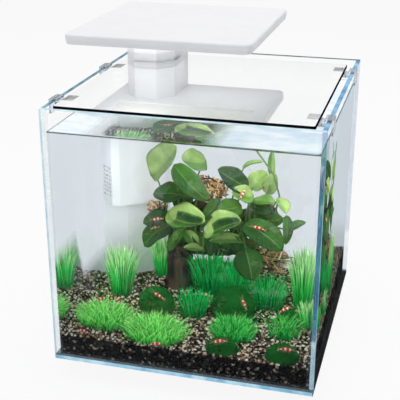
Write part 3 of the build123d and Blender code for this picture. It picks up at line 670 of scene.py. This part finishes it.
def box_shape(low, high, columns, rows, top):
    """Closed block whose upper side is a grid at the height that top(x, y) gives."""
    shape = Shape()
    for i in range(rows + 1):
        for j in range(columns + 1):
            x = low.x + (high.x - low.x) * j / columns
            y = low.y + (high.y - low.y) * i / rows
            shape.point((x, y, top(x, y)))
    shape.grid(0, rows, columns)
    ring = list(range(columns + 1))
    ring += [i * (columns + 1) + columns for i in range(1, rows + 1)]
    ring += [rows * (columns + 1) + j for j in reversed(range(columns))]
    ring += [i * (columns + 1) for i in reversed(range(1, rows))]
    first = len(shape.points)
    for k in ring:
        shape.point((shape.points[k][0], shape.points[k][1], low.z))
    count = len(ring)
    for k in range(count):
        after = (k + 1) % count
        shape.faces.append((ring[k], first + k, first + after, ring[after]))
    shape.faces.append(tuple(first + k for k in range(count)))
    return shape


# Water with a slightly restless surface
calm_edge = 12 * MM
ripple_h = 0.5 * MM


def ripple(x, y):
    """Height of the water, level at the panes."""
    edge = min(x - left_in, right_in - x, y - front_in, back_in - y) / calm_edge
    free = max(0.0, min(1.0, edge))
    swell = noise.noise(Vector((x * 26, y * 34, 0.3)))
    wave = swell + 0.4 * noise.noise(Vector((x * 70, y * 60, 4.0)))
    return water_z + ripple_h * free * wave


water_low = Vector((left_in + water_gap, front_in + water_gap, floor_top + water_gap))
water_high = Vector((right_in - water_gap, back_in - water_gap, water_z))
piece(box_shape(water_low, water_high, 60, 60, ripple), "water", water_look(), flat_below=0.5)


# Gravel: a bed with an uneven top, and loose grains over it
bed_below_grains = 1.2 * MM
bed_rough = 1.0 * MM
column_facet = 115 * MM
pebble_pitch = 3.3 * MM
pebble_sunk = 0.6 * MM


def bed_top(x, y):
    return ground(y) - bed_below_grains + bed_rough * noise.noise(Vector((x * 90, y * 90, 1.0)))


bed_low = Vector((left_in + gravel_gap, front_in + gravel_gap, floor_top + gravel_gap))
bed_high = Vector((right_in - gravel_gap, back_in - gravel_gap, 0))
piece(
    box_shape(bed_low, bed_high, 60, 62, bed_top), "gravel", gravel_look(),
    replaced=["gravel_bed"], flat_below=0.5,
)


def in_column(x, y, margin):
    """True where the filter column stands; a facet cuts its corner off."""
    low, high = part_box("filter_column")
    inside = x < high.x + margin and y > low.y - margin
    return inside and (x - left_in) + (back_in - y) < column_facet + 2 * margin


def pebbles():
    """Grains of random size, one on each field of a grid, except under the filter column."""
    rng = Random(5)
    shape = Shape()
    corners, sides = ball(1)
    columns = int((right_in - left_in) / pebble_pitch)
    rows = int((back_in - front_in) / pebble_pitch)
    for i in range(rows):
        for j in range(columns):
            radius = rng.uniform(1.0, 2.3) * MM
            wall = radius * 1.25 + gravel_gap
            x = left_in + (j + rng.random()) * pebble_pitch
            y = front_in + (i + rng.random()) * pebble_pitch
            turn = Matrix.Rotation(rng.uniform(0, tau), 3, "Z")
            turn = turn @ Matrix.Rotation(rng.uniform(-0.5, 0.5), 3, "X")
            size = Vector((rng.uniform(0.8, 1.25), rng.uniform(0.65, 1.0), rng.uniform(0.5, 0.85)))
            lift = rng.uniform(-0.2, 0.5) * radius
            x = min(max(x, left_in + wall), right_in - wall)
            y = min(max(y, front_in + wall), back_in - wall)
            if in_column(x, y, radius):
                continue
            first = len(shape.points)
            for corner in corners:
                rough = 1 + rng.uniform(-0.18, 0.18)
                place = turn @ Vector(c * s * radius * rough for c, s in zip(corner, size))
                shape.point(Vector((x, y, ground(y) - pebble_sunk + lift)) + place)
            shape.faces += [tuple(first + k for k in side) for side in sides]
    piece(shape, "pebbles", pebble_look(), smooth=False)


pebbles()


# Grass
blade_sunk = 1.5 * MM
blade_to_glass = 1.5 * MM
blade_taper = (0.8, 1.0, 1.0, 0.85, 0.6, 0.12)


def clump(node, count, look, width, foot_share, outer_drop, lean, proud, seed):
    """Fan of blades on a packed tuft.

    Feet cover a share of the fan's reach, and outer blades are shorter by outer_drop. Tips stray
    by lean, a share of their height, and stand proud of the tuft's box by a length.
    """
    rng = Random(seed)
    low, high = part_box(node)
    middle = (low + high) / 2
    reach = (high.x - low.x) / 2 + proud
    level = ground(middle.y)
    height = high.z - level + proud
    shape = Shape()
    for i in range(count):
        share = sqrt((i + 0.5) / count)
        turn = i * golden_turn + rng.uniform(-0.4, 0.4)
        stray = rng.uniform(0, tau)
        way = Vector((cos(turn), sin(turn), 0)) * share
        tall = height * (1 - outer_drop * share * share) * rng.uniform(0.78 - 0.36 * lean, 1.0)
        foot = Vector((middle.x, middle.y, level - blade_sunk)) + way * (reach * foot_share)
        tip = Vector((middle.x, middle.y, level + tall)) + way * reach
        tip += Vector((cos(stray), sin(stray), 0)) * (tall * lean * rng.random())
        tip.x = min(max(tip.x, left_in + blade_to_glass), right_in - blade_to_glass)
        tip.y = min(max(tip.y, front_in + blade_to_glass), back_in - blade_to_glass)
        lift = Vector((0, 0, tall * 0.12)) - way * (reach * rng.uniform(0.0, 0.15))
        wide = width * rng.uniform(0.75, 1.2) / 2
        radii = [wide * w for w in blade_taper]
        hint = Vector((cos(turn + rng.uniform(-1, 1)), sin(turn), 0.1))
        shape.tube(bow(foot, tip, lift, 5), radii, 3, rng.random(), 0.45, hint)
    piece(shape, node + "_blades", look, replaced=[node])


tall_grass = grass_look("grass_tall", rgb(0, 138, 52), rgb(48, 214, 92), rgb(220, 250, 186))
dark_grass = grass_look("grass_dark", rgb(0, 92, 42), rgb(4, 172, 76), rgb(48, 216, 116))
carpet_grass = grass_look("grass_carpet", rgb(28, 138, 46), rgb(94, 228, 92), rgb(204, 252, 160))
deep_grass = grass_look("grass_deep", rgb(0, 112, 44), rgb(36, 192, 78), rgb(128, 236, 124))
tall = dict(look=tall_grass, width=1.7 * MM, foot_share=0.5, outer_drop=0.2, lean=0.14)
dark = dict(look=dark_grass, width=1.6 * MM, foot_share=0.6, outer_drop=0.25, lean=0.3)
low = dict(look=tall_grass, width=2.0 * MM, foot_share=0.6, outer_drop=0.2, lean=0.15)
carpet = dict(look=carpet_grass, width=1.3 * MM, foot_share=0.92, outer_drop=0.45, lean=1.0)
deep_carpet = dict(carpet, look=deep_grass)
# Packed tuft, blades, kind, millimetres that they stand proud, seed
clumps = (
    ("grass_tall_middle", 260, tall, 5, 20),
    ("grass_tall_back", 150, tall, 5, 21),
    ("grass_tall_right", 280, tall, 5, 22),
    ("grass_dark_wood", 260, dark, 17, 30),
    ("grass_dark_middle", 190, dark, 15, 31),
    ("grass_dark_front", 170, dark, 9, 32),
    ("grass_dark_right", 230, dark, 9, 33),
    ("grass_low_right", 110, low, 4, 40),
    ("carpet_left", 800, carpet, 6, 50),
    ("carpet_middle", 820, carpet, 6, 51),
    ("carpet_right", 480, deep_carpet, 6, 52),
    ("carpet_small", 170, deep_carpet, 6, 53),
)
for node, count, kind, proud, seed in clumps:
    clump(node, count, proud=proud * MM, seed=seed, **kind)


# Moss
fuzz = 1.3 * MM
fuzz_lean = 0.7 * MM
fuzz_per_m2 = 2.2e6
felt_rough = 0.7 * MM


def moss_ball(node, look, seed):
    """Felted ball with short fuzz, flat where it rests."""
    rng = Random(seed)
    low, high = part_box(node)
    middle = (low + high) / 2
    radius = (high.x - low.x) / 2
    centre = Vector((middle.x, middle.y, high.z - radius))
    shape = Shape()
    points, sides = ball(5)
    for point in points:
        way = point.normalized()
        lumps = noise.noise(way * (radius / (6 * MM)))
        rough = lumps + 0.5 * noise.noise(way * (radius / (2 * MM)))
        place = centre + way * (radius - fuzz + felt_rough * rough)
        place.z = max(place.z, low.z)
        # The tone follows the lumps: painted shade where the felt dips.
        shape.point(place, 0.5 + 0.5 * rough)
    shape.faces += sides
    count = int(fuzz_per_m2 * radius * radius)
    for i in range(count):
        z = 1 - 2 * (i + 0.5) / count
        turn = i * golden_turn
        way = Vector((sqrt(1 - z * z) * cos(turn), sqrt(1 - z * z) * sin(turn), z))
        foot = centre + way * (radius - fuzz - 0.4 * MM)
        lean = Vector([rng.uniform(-1, 1) for axis in range(3)]) * fuzz_lean
        if foot.z > ground(foot.y):
            tip = foot + way * (fuzz * rng.uniform(0.6, 1.0)) + lean
            shape.tube([foot, tip], [0.35 * MM, 0.08 * MM], 3, rng.uniform(0.5, 1.0))
    piece(shape, node + "_felt", look, replaced=[node])


moss = moss_look()
mosses = "ball_left", "ball_middle", "ball_right", "cushion_left", "cushion_right"
for seed, node in enumerate(mosses, 60):
    moss_ball("moss_" + node, moss, seed)


# Driftwood: stump and limbs, fused and then given bark. Places and radii are in millimetres,
# measured at the stump's axis.
limbs = {
    "right": (((3, -1, 88), 11.0), ((41, -3, 90), 10.0), ((99, -9, 94), 7.0)),
    "top": (((6, -1, 118), 9.0), ((29, 1, 152), 7.0)),
    "left": (((-1, -1, 108), 8.0), ((-20, -5, 130), 5.0)),
}
stump_steps = ((25, 21.0), (40, 18.5), (62, 17.0), (88, 16.0), (112, 14.0), (135, 11.0))
bark_groove = 1.5 * MM
bark_knob = 1.6 * MM


def driftwood():
    """One skin over all the limbs, with grooves along the stump and knobs."""
    shape = Shape()
    shape.tube([from_stump((0, 0, z)) for z, r in stump_steps], [r * MM for z, r in stump_steps], 18)
    for joints in limbs.values():
        shape.tube([from_stump(p) for p, r in joints], [r * MM for p, r in joints], 12)
    wood = piece(shape, "driftwood_bark", wood_look(), replaced=["driftwood"])
    fuse = wood.modifiers.new("fuse", "REMESH")
    fuse.mode = "VOXEL"
    fuse.voxel_size = 1.8 * MM
    fused = bpy.data.meshes.new_from_object(wood.evaluated_get(bpy.context.evaluated_depsgraph_get()))
    wood.modifiers.clear()
    for vert in fused.vertices:
        groove = noise.noise(Vector((vert.co.x * 150, vert.co.y * 150, vert.co.z * 28)))
        knobs = noise.noise(vert.co * 60 + Vector((3, 5, 7)))
        vert.co += vert.normal * (bark_groove * groove + bark_knob * knobs)
    fused.polygons.foreach_set("use_smooth", [True] * len(fused.polygons))
    wood.data = fused


driftwood()


stick_taper = (0.7, 1.0, 1.0, 0.9, 0.7, 0.3)


def root_nest(name, look, limb, count, size, shift, seed):
    """Tangle of sticks and fine roots around the end of a limb."""
    rng = Random(seed)
    joints = limbs[limb]
    end = from_stump(joints[-1][0])
    ahead = (end - from_stump(joints[-2][0])).normalized()
    heart = end + ahead * size.length * 0.3 + Vector(shift) * MM

    def inside():
        spot = Vector([rng.gauss(0, 0.55) for axis in range(3)])
        spot = spot.normalized() * min(spot.length, 1.0)
        return heart + Vector(a * b for a, b in zip(spot, size))

    shape = Shape()
    for i in range(count):
        start = end if i % 6 == 0 else inside()
        lift = Vector([rng.gauss(0, 1) for axis in range(3)]) * size.length * 0.08
        thick = rng.uniform(0.7, 1.3) * MM
        shape.tube(bow(start, inside(), lift, 5), [thick * share for share in stick_taper], 5)
    piece(shape, name + "_nest", look, replaced=[name])


roots = root_look()
root_nest("roots_right", roots, "right", 150, Vector((28, 15, 19)) * MM, (7, -9, -8), 70)
root_nest("roots_top", roots, "top", 150, Vector((27, 13, 16)) * MM, (2, -16, 9), 71)
root_nest("roots_left", roots, "left", 70, Vector((14, 11, 13)) * MM, (-4, 0, 0), 72)

# Leaves: place on the rhizome, base, tip, width, the way the upper side faces, tone and how
# far the sides fold up. Places are in millimetres from the stump's axis.
rhizome = ((-13, -11, 120), (11, -14, 127), (66, -15, 126), (121, -13, 127))
rhizome_radii = (3.0, 5.0, 5.0, 3.0)
bare_stem = ((115, -13, 127), (122, -7, 166), (114, -6, 192), (93, -6, 219))
leaves = (
    (-12, (-36, -7, 177), (2, -29, 222), 44, (-0.4, -0.8, 0.4), 0.84, 0.45),
    (-8, (-9, -21, 119), (-38, -36, 92), 34, (-0.4, -0.7, 0.6), 0.22, 0.15),
    (-6, (-6, -20, 130), (-40, -33, 122), 26, (-0.3, -0.7, 0.6), 0.16, 0.15),
    (-4, (8, -21, 160), (-29, -24, 158), 32, (0.0, -0.6, 0.8), 0.28, 0.15),
    (1, (-3, -23, 198), (42, -38, 160), 30, (0.3, -0.85, 0.4), 0.4, 0.2),
    (6, (-7, -43, 143), (42, -58, 141), 44, (0.1, -0.6, 0.8), 0.85, 0.6),
    (11, (30, 12, 196), (5, -16, 203), 34, (0.1, -0.75, 0.65), 0.72, 0.3),
    (15, (34, -18, 166), (8, -26, 158), 20, (0.0, -0.6, 0.8), 0.14, 0.15),
    (31, (39, -37, 96), (14, -49, 101), 14, (0.0, -0.5, 0.8), 0.7, 0.2),
    (37, (38, -46, 121), (86, -62, 148), 38, (0.0, -0.65, 0.75), 0.85, 0.6),
    (45, (54, -28, 161), (36, -42, 138), 18, (0.2, -0.8, 0.5), 0.3, 0.3),
    (55, (80, -25, 155), (54, -40, 150), 30, (0.0, -0.65, 0.75), 0.5, 0.2),
    (60, (74, 11, 192), (99, 9, 202), 9, (0.0, -0.5, 0.85), 0.7, 0.4),
    (65, (85, -5, 172), (51, -29, 198), 32, (-0.2, -0.7, 0.7), 0.1, 0.2),
    (70, (85, -29, 112), (45, -45, 112), 20, (0.0, -0.5, 0.85), 0.75, 0.2),
    (75, (89, -47, 108), (101, -65, 74), 36, (0.0, -0.9, 0.4), 0.3, 0.1),
    (79, (84, -35, 136), (134, -51, 111), 38, (0.1, -0.6, 0.8), 0.36, 0.15),
    (83, (86, 7, 167), (104, 10, 190), 24, (0.0, -0.9, 0.3), 0.85, 0.3),
    (87, (93, -17, 166), (69, -34, 172), 26, (0.0, -0.75, 0.65), 0.75, 0.3),
    (89, (86, -8, 150), (116, -18, 146), 20, (0.0, -0.6, 0.8), 0.25, 0.15),
    (91, (82, -7, 132), (130, -16, 138), 30, (0.0, -0.65, 0.75), 0.32, 0.15),
    (95, (91, -11, 158), (119, -21, 160), 22, (0.1, -0.4, 0.9), 0.62, 0.2),
    (99, (105, 7, 163), (115, 1, 192), 20, (0.0, -0.95, 0.3), 0.9, 0.3),
    (103, (111, 9, 182), (109, 15, 216), 10, (0.0, -1.0, 0.0), 0.7, 0.4),
    (107, (121, -15, 166), (133, -25, 150), 17, (0.5, -0.7, 0.5), 0.85, 0.3),
    (111, (133, -17, 146), (134, -29, 112), 14, (0.4, -0.9, 0.1), 0.5, 0.3),
    (119, (133, -21, 124), (157, -26, 142), 14, (-0.3, -0.6, 0.7), 0.4, 0.2),
)
leaf_t = 1.2 * MM
leaf_crown = 0.13
# A leaf folded this deep gets painted shade in its hollow, between these shares of its length and within
# this share of its half width.
fold_with_hollow_shade = 0.5
hollow_shade_reach = 0.6
hollow_shade_from, hollow_shade_to = 0.22, 0.9
rib_r = 0.75 * MM
stalk_r = 1.3 * MM
filler_leaves = 42
fillers_end = 14


def scatter(rng, *ranges):
    """Random step in metres, from a range in millimetres along each axis."""
    return Vector([rng.uniform(*limits) for limits in ranges]) * MM


def on_rhizome(x):
    """Point of the rhizome's axis at a given x."""
    for a, b in zip(rhizome, rhizome[1:]):
        if x <= b[0] or b is rhizome[-1]:
            return from_stump(Vector(a).lerp(Vector(b), (x - a[0]) / (b[0] - a[0])))


def leaf_half(share):
    """Half width along a leaf, as a share of its greatest: round at the base, drawn to a tip."""
    greatest = 0.463
    return share**0.5 * (1 - share) ** 0.62 / greatest


def leaf(shape, root, base, tip, width, face, tone, fold, rng):
    """Leaf blade of two skins that meet at the rim, with its stalk and middle rib.

    The hollow of a deeply folded leaf gets painted shade; the upper half of each leaf gets a painted
    highlight and the lower half painted shade. Returns the blade's surface.
    """
    run = tip - base
    ahead = run.normalized()
    upper = (face - ahead * face.dot(ahead)).normalized()
    across = ahead.cross(upper)
    rows, columns = 16, 10
    phase = rng.uniform(0, tau)
    skew = rng.uniform(-0.12, 0.12)
    low_side = 1 if across.z > 0 else -1

    def spot(u, v, depth):
        half = width / 2 * leaf_half(u)
        wave = 0.10 * half * sin(phase + 9 * u + 2 * v) * v * v
        lift = leaf_crown * run.length * 4 * u * (1 - u) - fold * half * (1 - abs(v) ** 1.4) + wave
        side = v * half * (1 - 0.18 * fold) + skew * width * sin(pi * u)
        return base + run * u + across * side + upper * (lift - depth)

    for under in (0, 1):
        first = len(shape.points)
        for i in range(rows + 1):
            u = i / rows
            for j in range(columns + 1):
                v = 2 * j / columns - 1
                body = (1 - v * v) * min(1.0, 8 * u * (1 - u))
                rise = v * low_side
                # Painted light and shade: the upper half lighter, the lower half darker; a deep fold gets
                # painted shade in its hollow and below it. The underside is paler.
                tone_with_painted_light = tone + 0.12 * under + 0.08 * min(1.0, max(-1.0, 5 * rise))
                if fold >= fold_with_hollow_shade and rise < hollow_shade_reach and hollow_shade_from < u < hollow_shade_to:
                    in_hollow_shade = rise > -hollow_shade_reach
                    tone_with_painted_light = 0.05 + 0.25 * (hollow_shade_reach - rise) if in_hollow_shade else tone - 0.25
                shade = min(1.0, max(0.0, tone_with_painted_light))
                shape.point(spot(u, v, under * leaf_t * body), shade, u, abs(v))
        shape.grid(first, rows, columns)
    rib = [spot(0.06 + 0.1 * i, 0.0, leaf_t) for i in range(9)]
    shape.tube(rib, [rib_r * (1 - 0.09 * i) for i in range(9)], 5, min(1.0, tone + 0.2))
    joint = spot(0.08, 0.0, leaf_t / 2)
    bend = Vector((0, 0, 0.12)) * (joint - root).length
    shape.tube(bow(root, joint, bend, 8), [stalk_r - 0.05 * MM * i for i in range(9)], 6, 0.35)
    return spot


def broad_leaf_plant():
    """The whole plant. Returns each leaf's surface by its place on the rhizome."""
    rng = Random(80)
    shape = Shape()
    surfaces = {}
    shape.tube([from_stump(p) for p in rhizome], [r * MM for r in rhizome_radii], 8, 0.25)
    shape.tube([from_stump(p) for p in bare_stem], [1.2 * MM] * len(bare_stem), 6, 0.3)
    for root_x, base, tip, width, face, tone, fold in leaves:
        root, base, tip = on_rhizome(root_x), from_stump(base), from_stump(tip)
        surfaces[root_x] = leaf(shape, root, base, tip, width * MM, Vector(face), tone, fold, rng)
    first_x, last_x = rhizome[0][0], rhizome[-1][0] - fillers_end
    for i in range(filler_leaves):
        share = (i + 0.5) / filler_leaves
        root = on_rhizome(first_x + (last_x - first_x) * share)
        hangs = i % 3 == 0 and i < 0.86 * filler_leaves
        if hangs:
            base = root + scatter(rng, (-8, 8), (-16, -10), (-12, -4))
            tip = base + scatter(rng, (-24, 24), (-10, -4), (-28, -12))
            width, tone = rng.uniform(12, 18) * MM, rng.uniform(0.1, 0.7)
        else:
            base = root + scatter(rng, (-8, 8), (4, 14), (-22, 22))
            ways = (-1, 1, 1) if i < 0.75 * filler_leaves else (1,)
            aside = rng.uniform(-22, 22), rng.uniform(-6, 8)
            tip = base + Vector((*aside, rng.choice(ways) * rng.uniform(8, 30))) * MM
            width, tone = rng.uniform(22, 30) * MM, rng.uniform(0.02, 0.4)
        face = Vector((rng.uniform(-0.4, 0.4), -0.8, 0.5))
        leaf(shape, root, base, tip, width, face, tone, 0.2, rng)
    piece(shape, "broad_leaves", leaf_look(), replaced=["broad_leaf_plant"])
    return surfaces


leaf_surfaces = broad_leaf_plant()


# Shrimps, each resting on a leaf, on moss or on the bed. The body's steps are places forwards and
# upwards and a radius, as shares of its length.
shrimp_body = (
    (0.52, 0.2, 0.015), (0.44, 0.2, 0.07), (0.3, 0.21, 0.115), (0.14, 0.23, 0.125),
    (-0.04, 0.24, 0.115), (-0.2, 0.21, 0.095), (-0.35, 0.15, 0.065), (-0.48, 0.1, 0.035),
)


def shrimp(shape, seat, up, heading, size):
    """Bowed body that tapers to a tail fan, with legs down to the seat and two feelers."""
    ahead = (heading - up * heading.dot(up)).normalized()
    aside = up.cross(ahead)

    def spot(forward, height, sideways=0.0):
        return seat + (ahead * forward + up * height + aside * sideways) * size

    spine = [spot(forward, height) for forward, height, radius in shrimp_body]
    shape.tube(spine, [radius * size for forward, height, radius in shrimp_body], 8, hint=aside)
    for sideways in (-0.1, 0.0, 0.1):
        fan = [spot(-0.46, 0.1), spot(-0.54, 0.08, sideways), spot(-0.62, 0.06, 1.5 * sideways)]
        shape.tube(fan, [0.03 * size, 0.045 * size, 0.01 * size], 6, flat=0.4, hint=aside)
    for side in (-1, 1):
        feeler = [spot(0.48, 0.2, 0.03 * side), spot(0.66, 0.3, 0.1 * side), spot(0.86, 0.3, 0.2 * side)]
        shape.tube(feeler, [0.014 * size, 0.011 * size, 0.005 * size], 4)
        for k in range(5):
            forward = 0.32 - 0.13 * k
            bends = ((0.16, 0.05), (0.14, 0.13), (0.0, 0.17))
            leg = [spot(forward, height, out * side) for height, out in bends]
            shape.tube(leg, [0.018 * size, 0.014 * size, 0.008 * size], 4)


# Leaf, share of its length and of its half width, heading in degrees
shrimps_on_leaves = (
    (-6, 0.5, -0.2, 200), (-8, 0.35, 0.3, 20), (79, 0.35, -0.1, 170), (87, 0.55, 0.0, 60),
)
# Ball, turn and rise in radians, heading in degrees
shrimps_on_moss = (
    ("moss_ball_left", -1.2, 0.75, 160),
    ("moss_ball_middle", -0.9, 0.5, 130),
    ("moss_ball_right", -1.9, 0.9, 30),
    ("moss_cushion_left", -1.6, 1.0, 200),
    ("moss_cushion_right", -1.2, 0.95, 10),
)
# Place and height over the bed in millimetres, heading in degrees
shrimps_on_bed = (
    (-112, -78, 20, 40), (-92, -74, 20, 120), (-118, -138, 1, 170),
    (-30, -146, 1, 20), (14, 6, 1, 200), (-2, 20, 1, 170),
)


def shrimps():
    """All the shrimps as one piece."""
    rng = Random(90)
    shape = Shape()

    def add(seat, up, degrees):
        turn = radians(degrees)
        heading = Vector((cos(turn), 0.5 * sin(turn), sin(turn)))
        shrimp(shape, seat, up, heading, rng.uniform(12, 15) * MM)

    for root_x, u, v, degrees in shrimps_on_leaves:
        surface = leaf_surfaces[root_x]
        seat = surface(u, v, 0.0)
        up = (surface(u + 0.05, v, 0.0) - seat).cross(surface(u, v + 0.05, 0.0) - seat).normalized()
        add(seat, -up if up.y > 0 else up, degrees)
    for node, turn, rise, degrees in shrimps_on_moss:
        low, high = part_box(node)
        radius = (high.x - low.x) / 2
        centre = Vector(((low.x + high.x) / 2, (low.y + high.y) / 2, high.z - radius))
        up = Vector((cos(turn) * cos(rise), sin(turn) * cos(rise), sin(rise)))
        add(centre + up * radius, up, degrees)
    for x, y, height, degrees in shrimps_on_bed:
        seat = Vector((x * MM, y * MM, ground(y * MM) + height * MM))
        add(seat, Vector((0, -0.3, 1)).normalized(), degrees)
    piece(shape, "shrimps", shrimp_look())


shrimps()

# Camera at the photograph's angle
camera_data = bpy.data.cameras.new("camera")
camera_data.lens = 81.6
camera_data.sensor_width = 36
camera = put("camera", camera_data)
camera.location = Vector((249.1, -986.5, 590.1)) * MM
camera.rotation_euler = Vector((-0.2424, 0.8947, -0.3752)).to_track_quat("-Z", "Y").to_euler()
scene.camera = camera


# Studio: white floor and surroundings, soft lamps
def surroundings(strength):
    """White where it is seen, and a dimmer light for everything else."""
    world = bpy.data.worlds.new("studio")
    world.use_nodes = True
    sky = Nodes(world.node_tree)
    dim, white = (sky.node("Background", Strength=level, Color=(1, 1, 1, 1)) for level in (strength, 1.0))
    sky.node("OutputWorld", Surface=sky.mix(sky.seen_directly(), dim, white))
    scene.world = world


def floor(size):
    """White floor that keeps a soft shadow."""
    mesh = bpy.data.meshes.new("floor")
    half = size / 2
    corners = [(-half, -half, 0), (half, -half, 0), (half, half, 0), (-half, half, 0)]
    mesh.from_pydata(corners, [], [(0, 1, 2, 3)])
    look = Look("floor", grey(0.85), Roughness=0.9)
    glow = look.node("Emission")
    share = look.times(look.seen_directly(), 0.9)
    look.show(look.mix(share, look.main, glow))
    mesh.materials.append(look.material)
    made = put("floor", mesh)


def lamp(name, place, target, size, watts):
    """Soft square lamp that doesn't show."""
    data = bpy.data.lights.new(name, "AREA")
    data.size = size
    data.energy = watts
    made = put(name, data)
    made.location = place
    made.rotation_euler = (Vector(target) - Vector(place)).to_track_quat("-Z", "Y").to_euler()
    made.visible_camera = False
    made.visible_glossy = False
    made.visible_transmission = False


surroundings(0.42)
floor(8.0)
# Around the tank
lamp("key", (-0.5, -1.5, 1.0), (0, 0, 0.15), 1.0, 4.5)
lamp("top", (0.2, 0.1, 1.8), (0, 0, 0.1), 1.0, 9.6)
lamp("fill", (1.2, -1.1, 0.6), (0, 0, 0.15), 1.0, 2)
lamp("left", (-1.4, 0.3, 0.8), (0, 0, 0.2), 1.0, 2.5)
lamp("back", (0.3, 1.4, 0.9), (0, 0, 0.2), 1.0, 2.5)
# In the water, for the planting and the filter tower
middle_x = (left_in + right_in) / 2
lamp("in_tank_front", (middle_x, front_in + 4 * MM, 0.16), (middle_x, 0, 0.13), 0.24, 0.12)
lamp("in_tank_back", (-0.09, -0.06, 0.13), (-0.11, back_in, 0.11), 0.1, 0.045)
lamp("tower_left", (left_in + 2 * MM, 0.02, 0.22), (-0.13, 0.06, 0.21), 0.05, 0.007)
lamp("tower_right", (-0.01, 0.08, 0.18), (-0.1, 0.11, 0.12), 0.06, 0.022)
lamp("roots_front", (0.1, -0.04, 0.1), (0.08, 0.04, 0.115), 0.04, 0.006)
lamp("in_tank_top", (0.05, -0.04, water_z - 14 * MM), (0.05, -0.04, 0), 0.16, 0.28)
# Under the lamp's shade, for the pillar and what the cover reflects
shade_low, shade_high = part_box("lamp_lower_shell")
under_lamp = (shade_low + shade_high) / 2
under_lamp.z = rim_z + 12 * MM
lamp("pillar_front", (-0.1, 0.0, rim_z + 14 * MM), (-0.1, 0.09, rim_z + 30 * MM), 0.06, 0.017)
lamp("bounce", under_lamp, under_lamp + Vector((0, 0, 1)), 0.19, 0.05)
scene.view_settings.view_transform = "Standard"
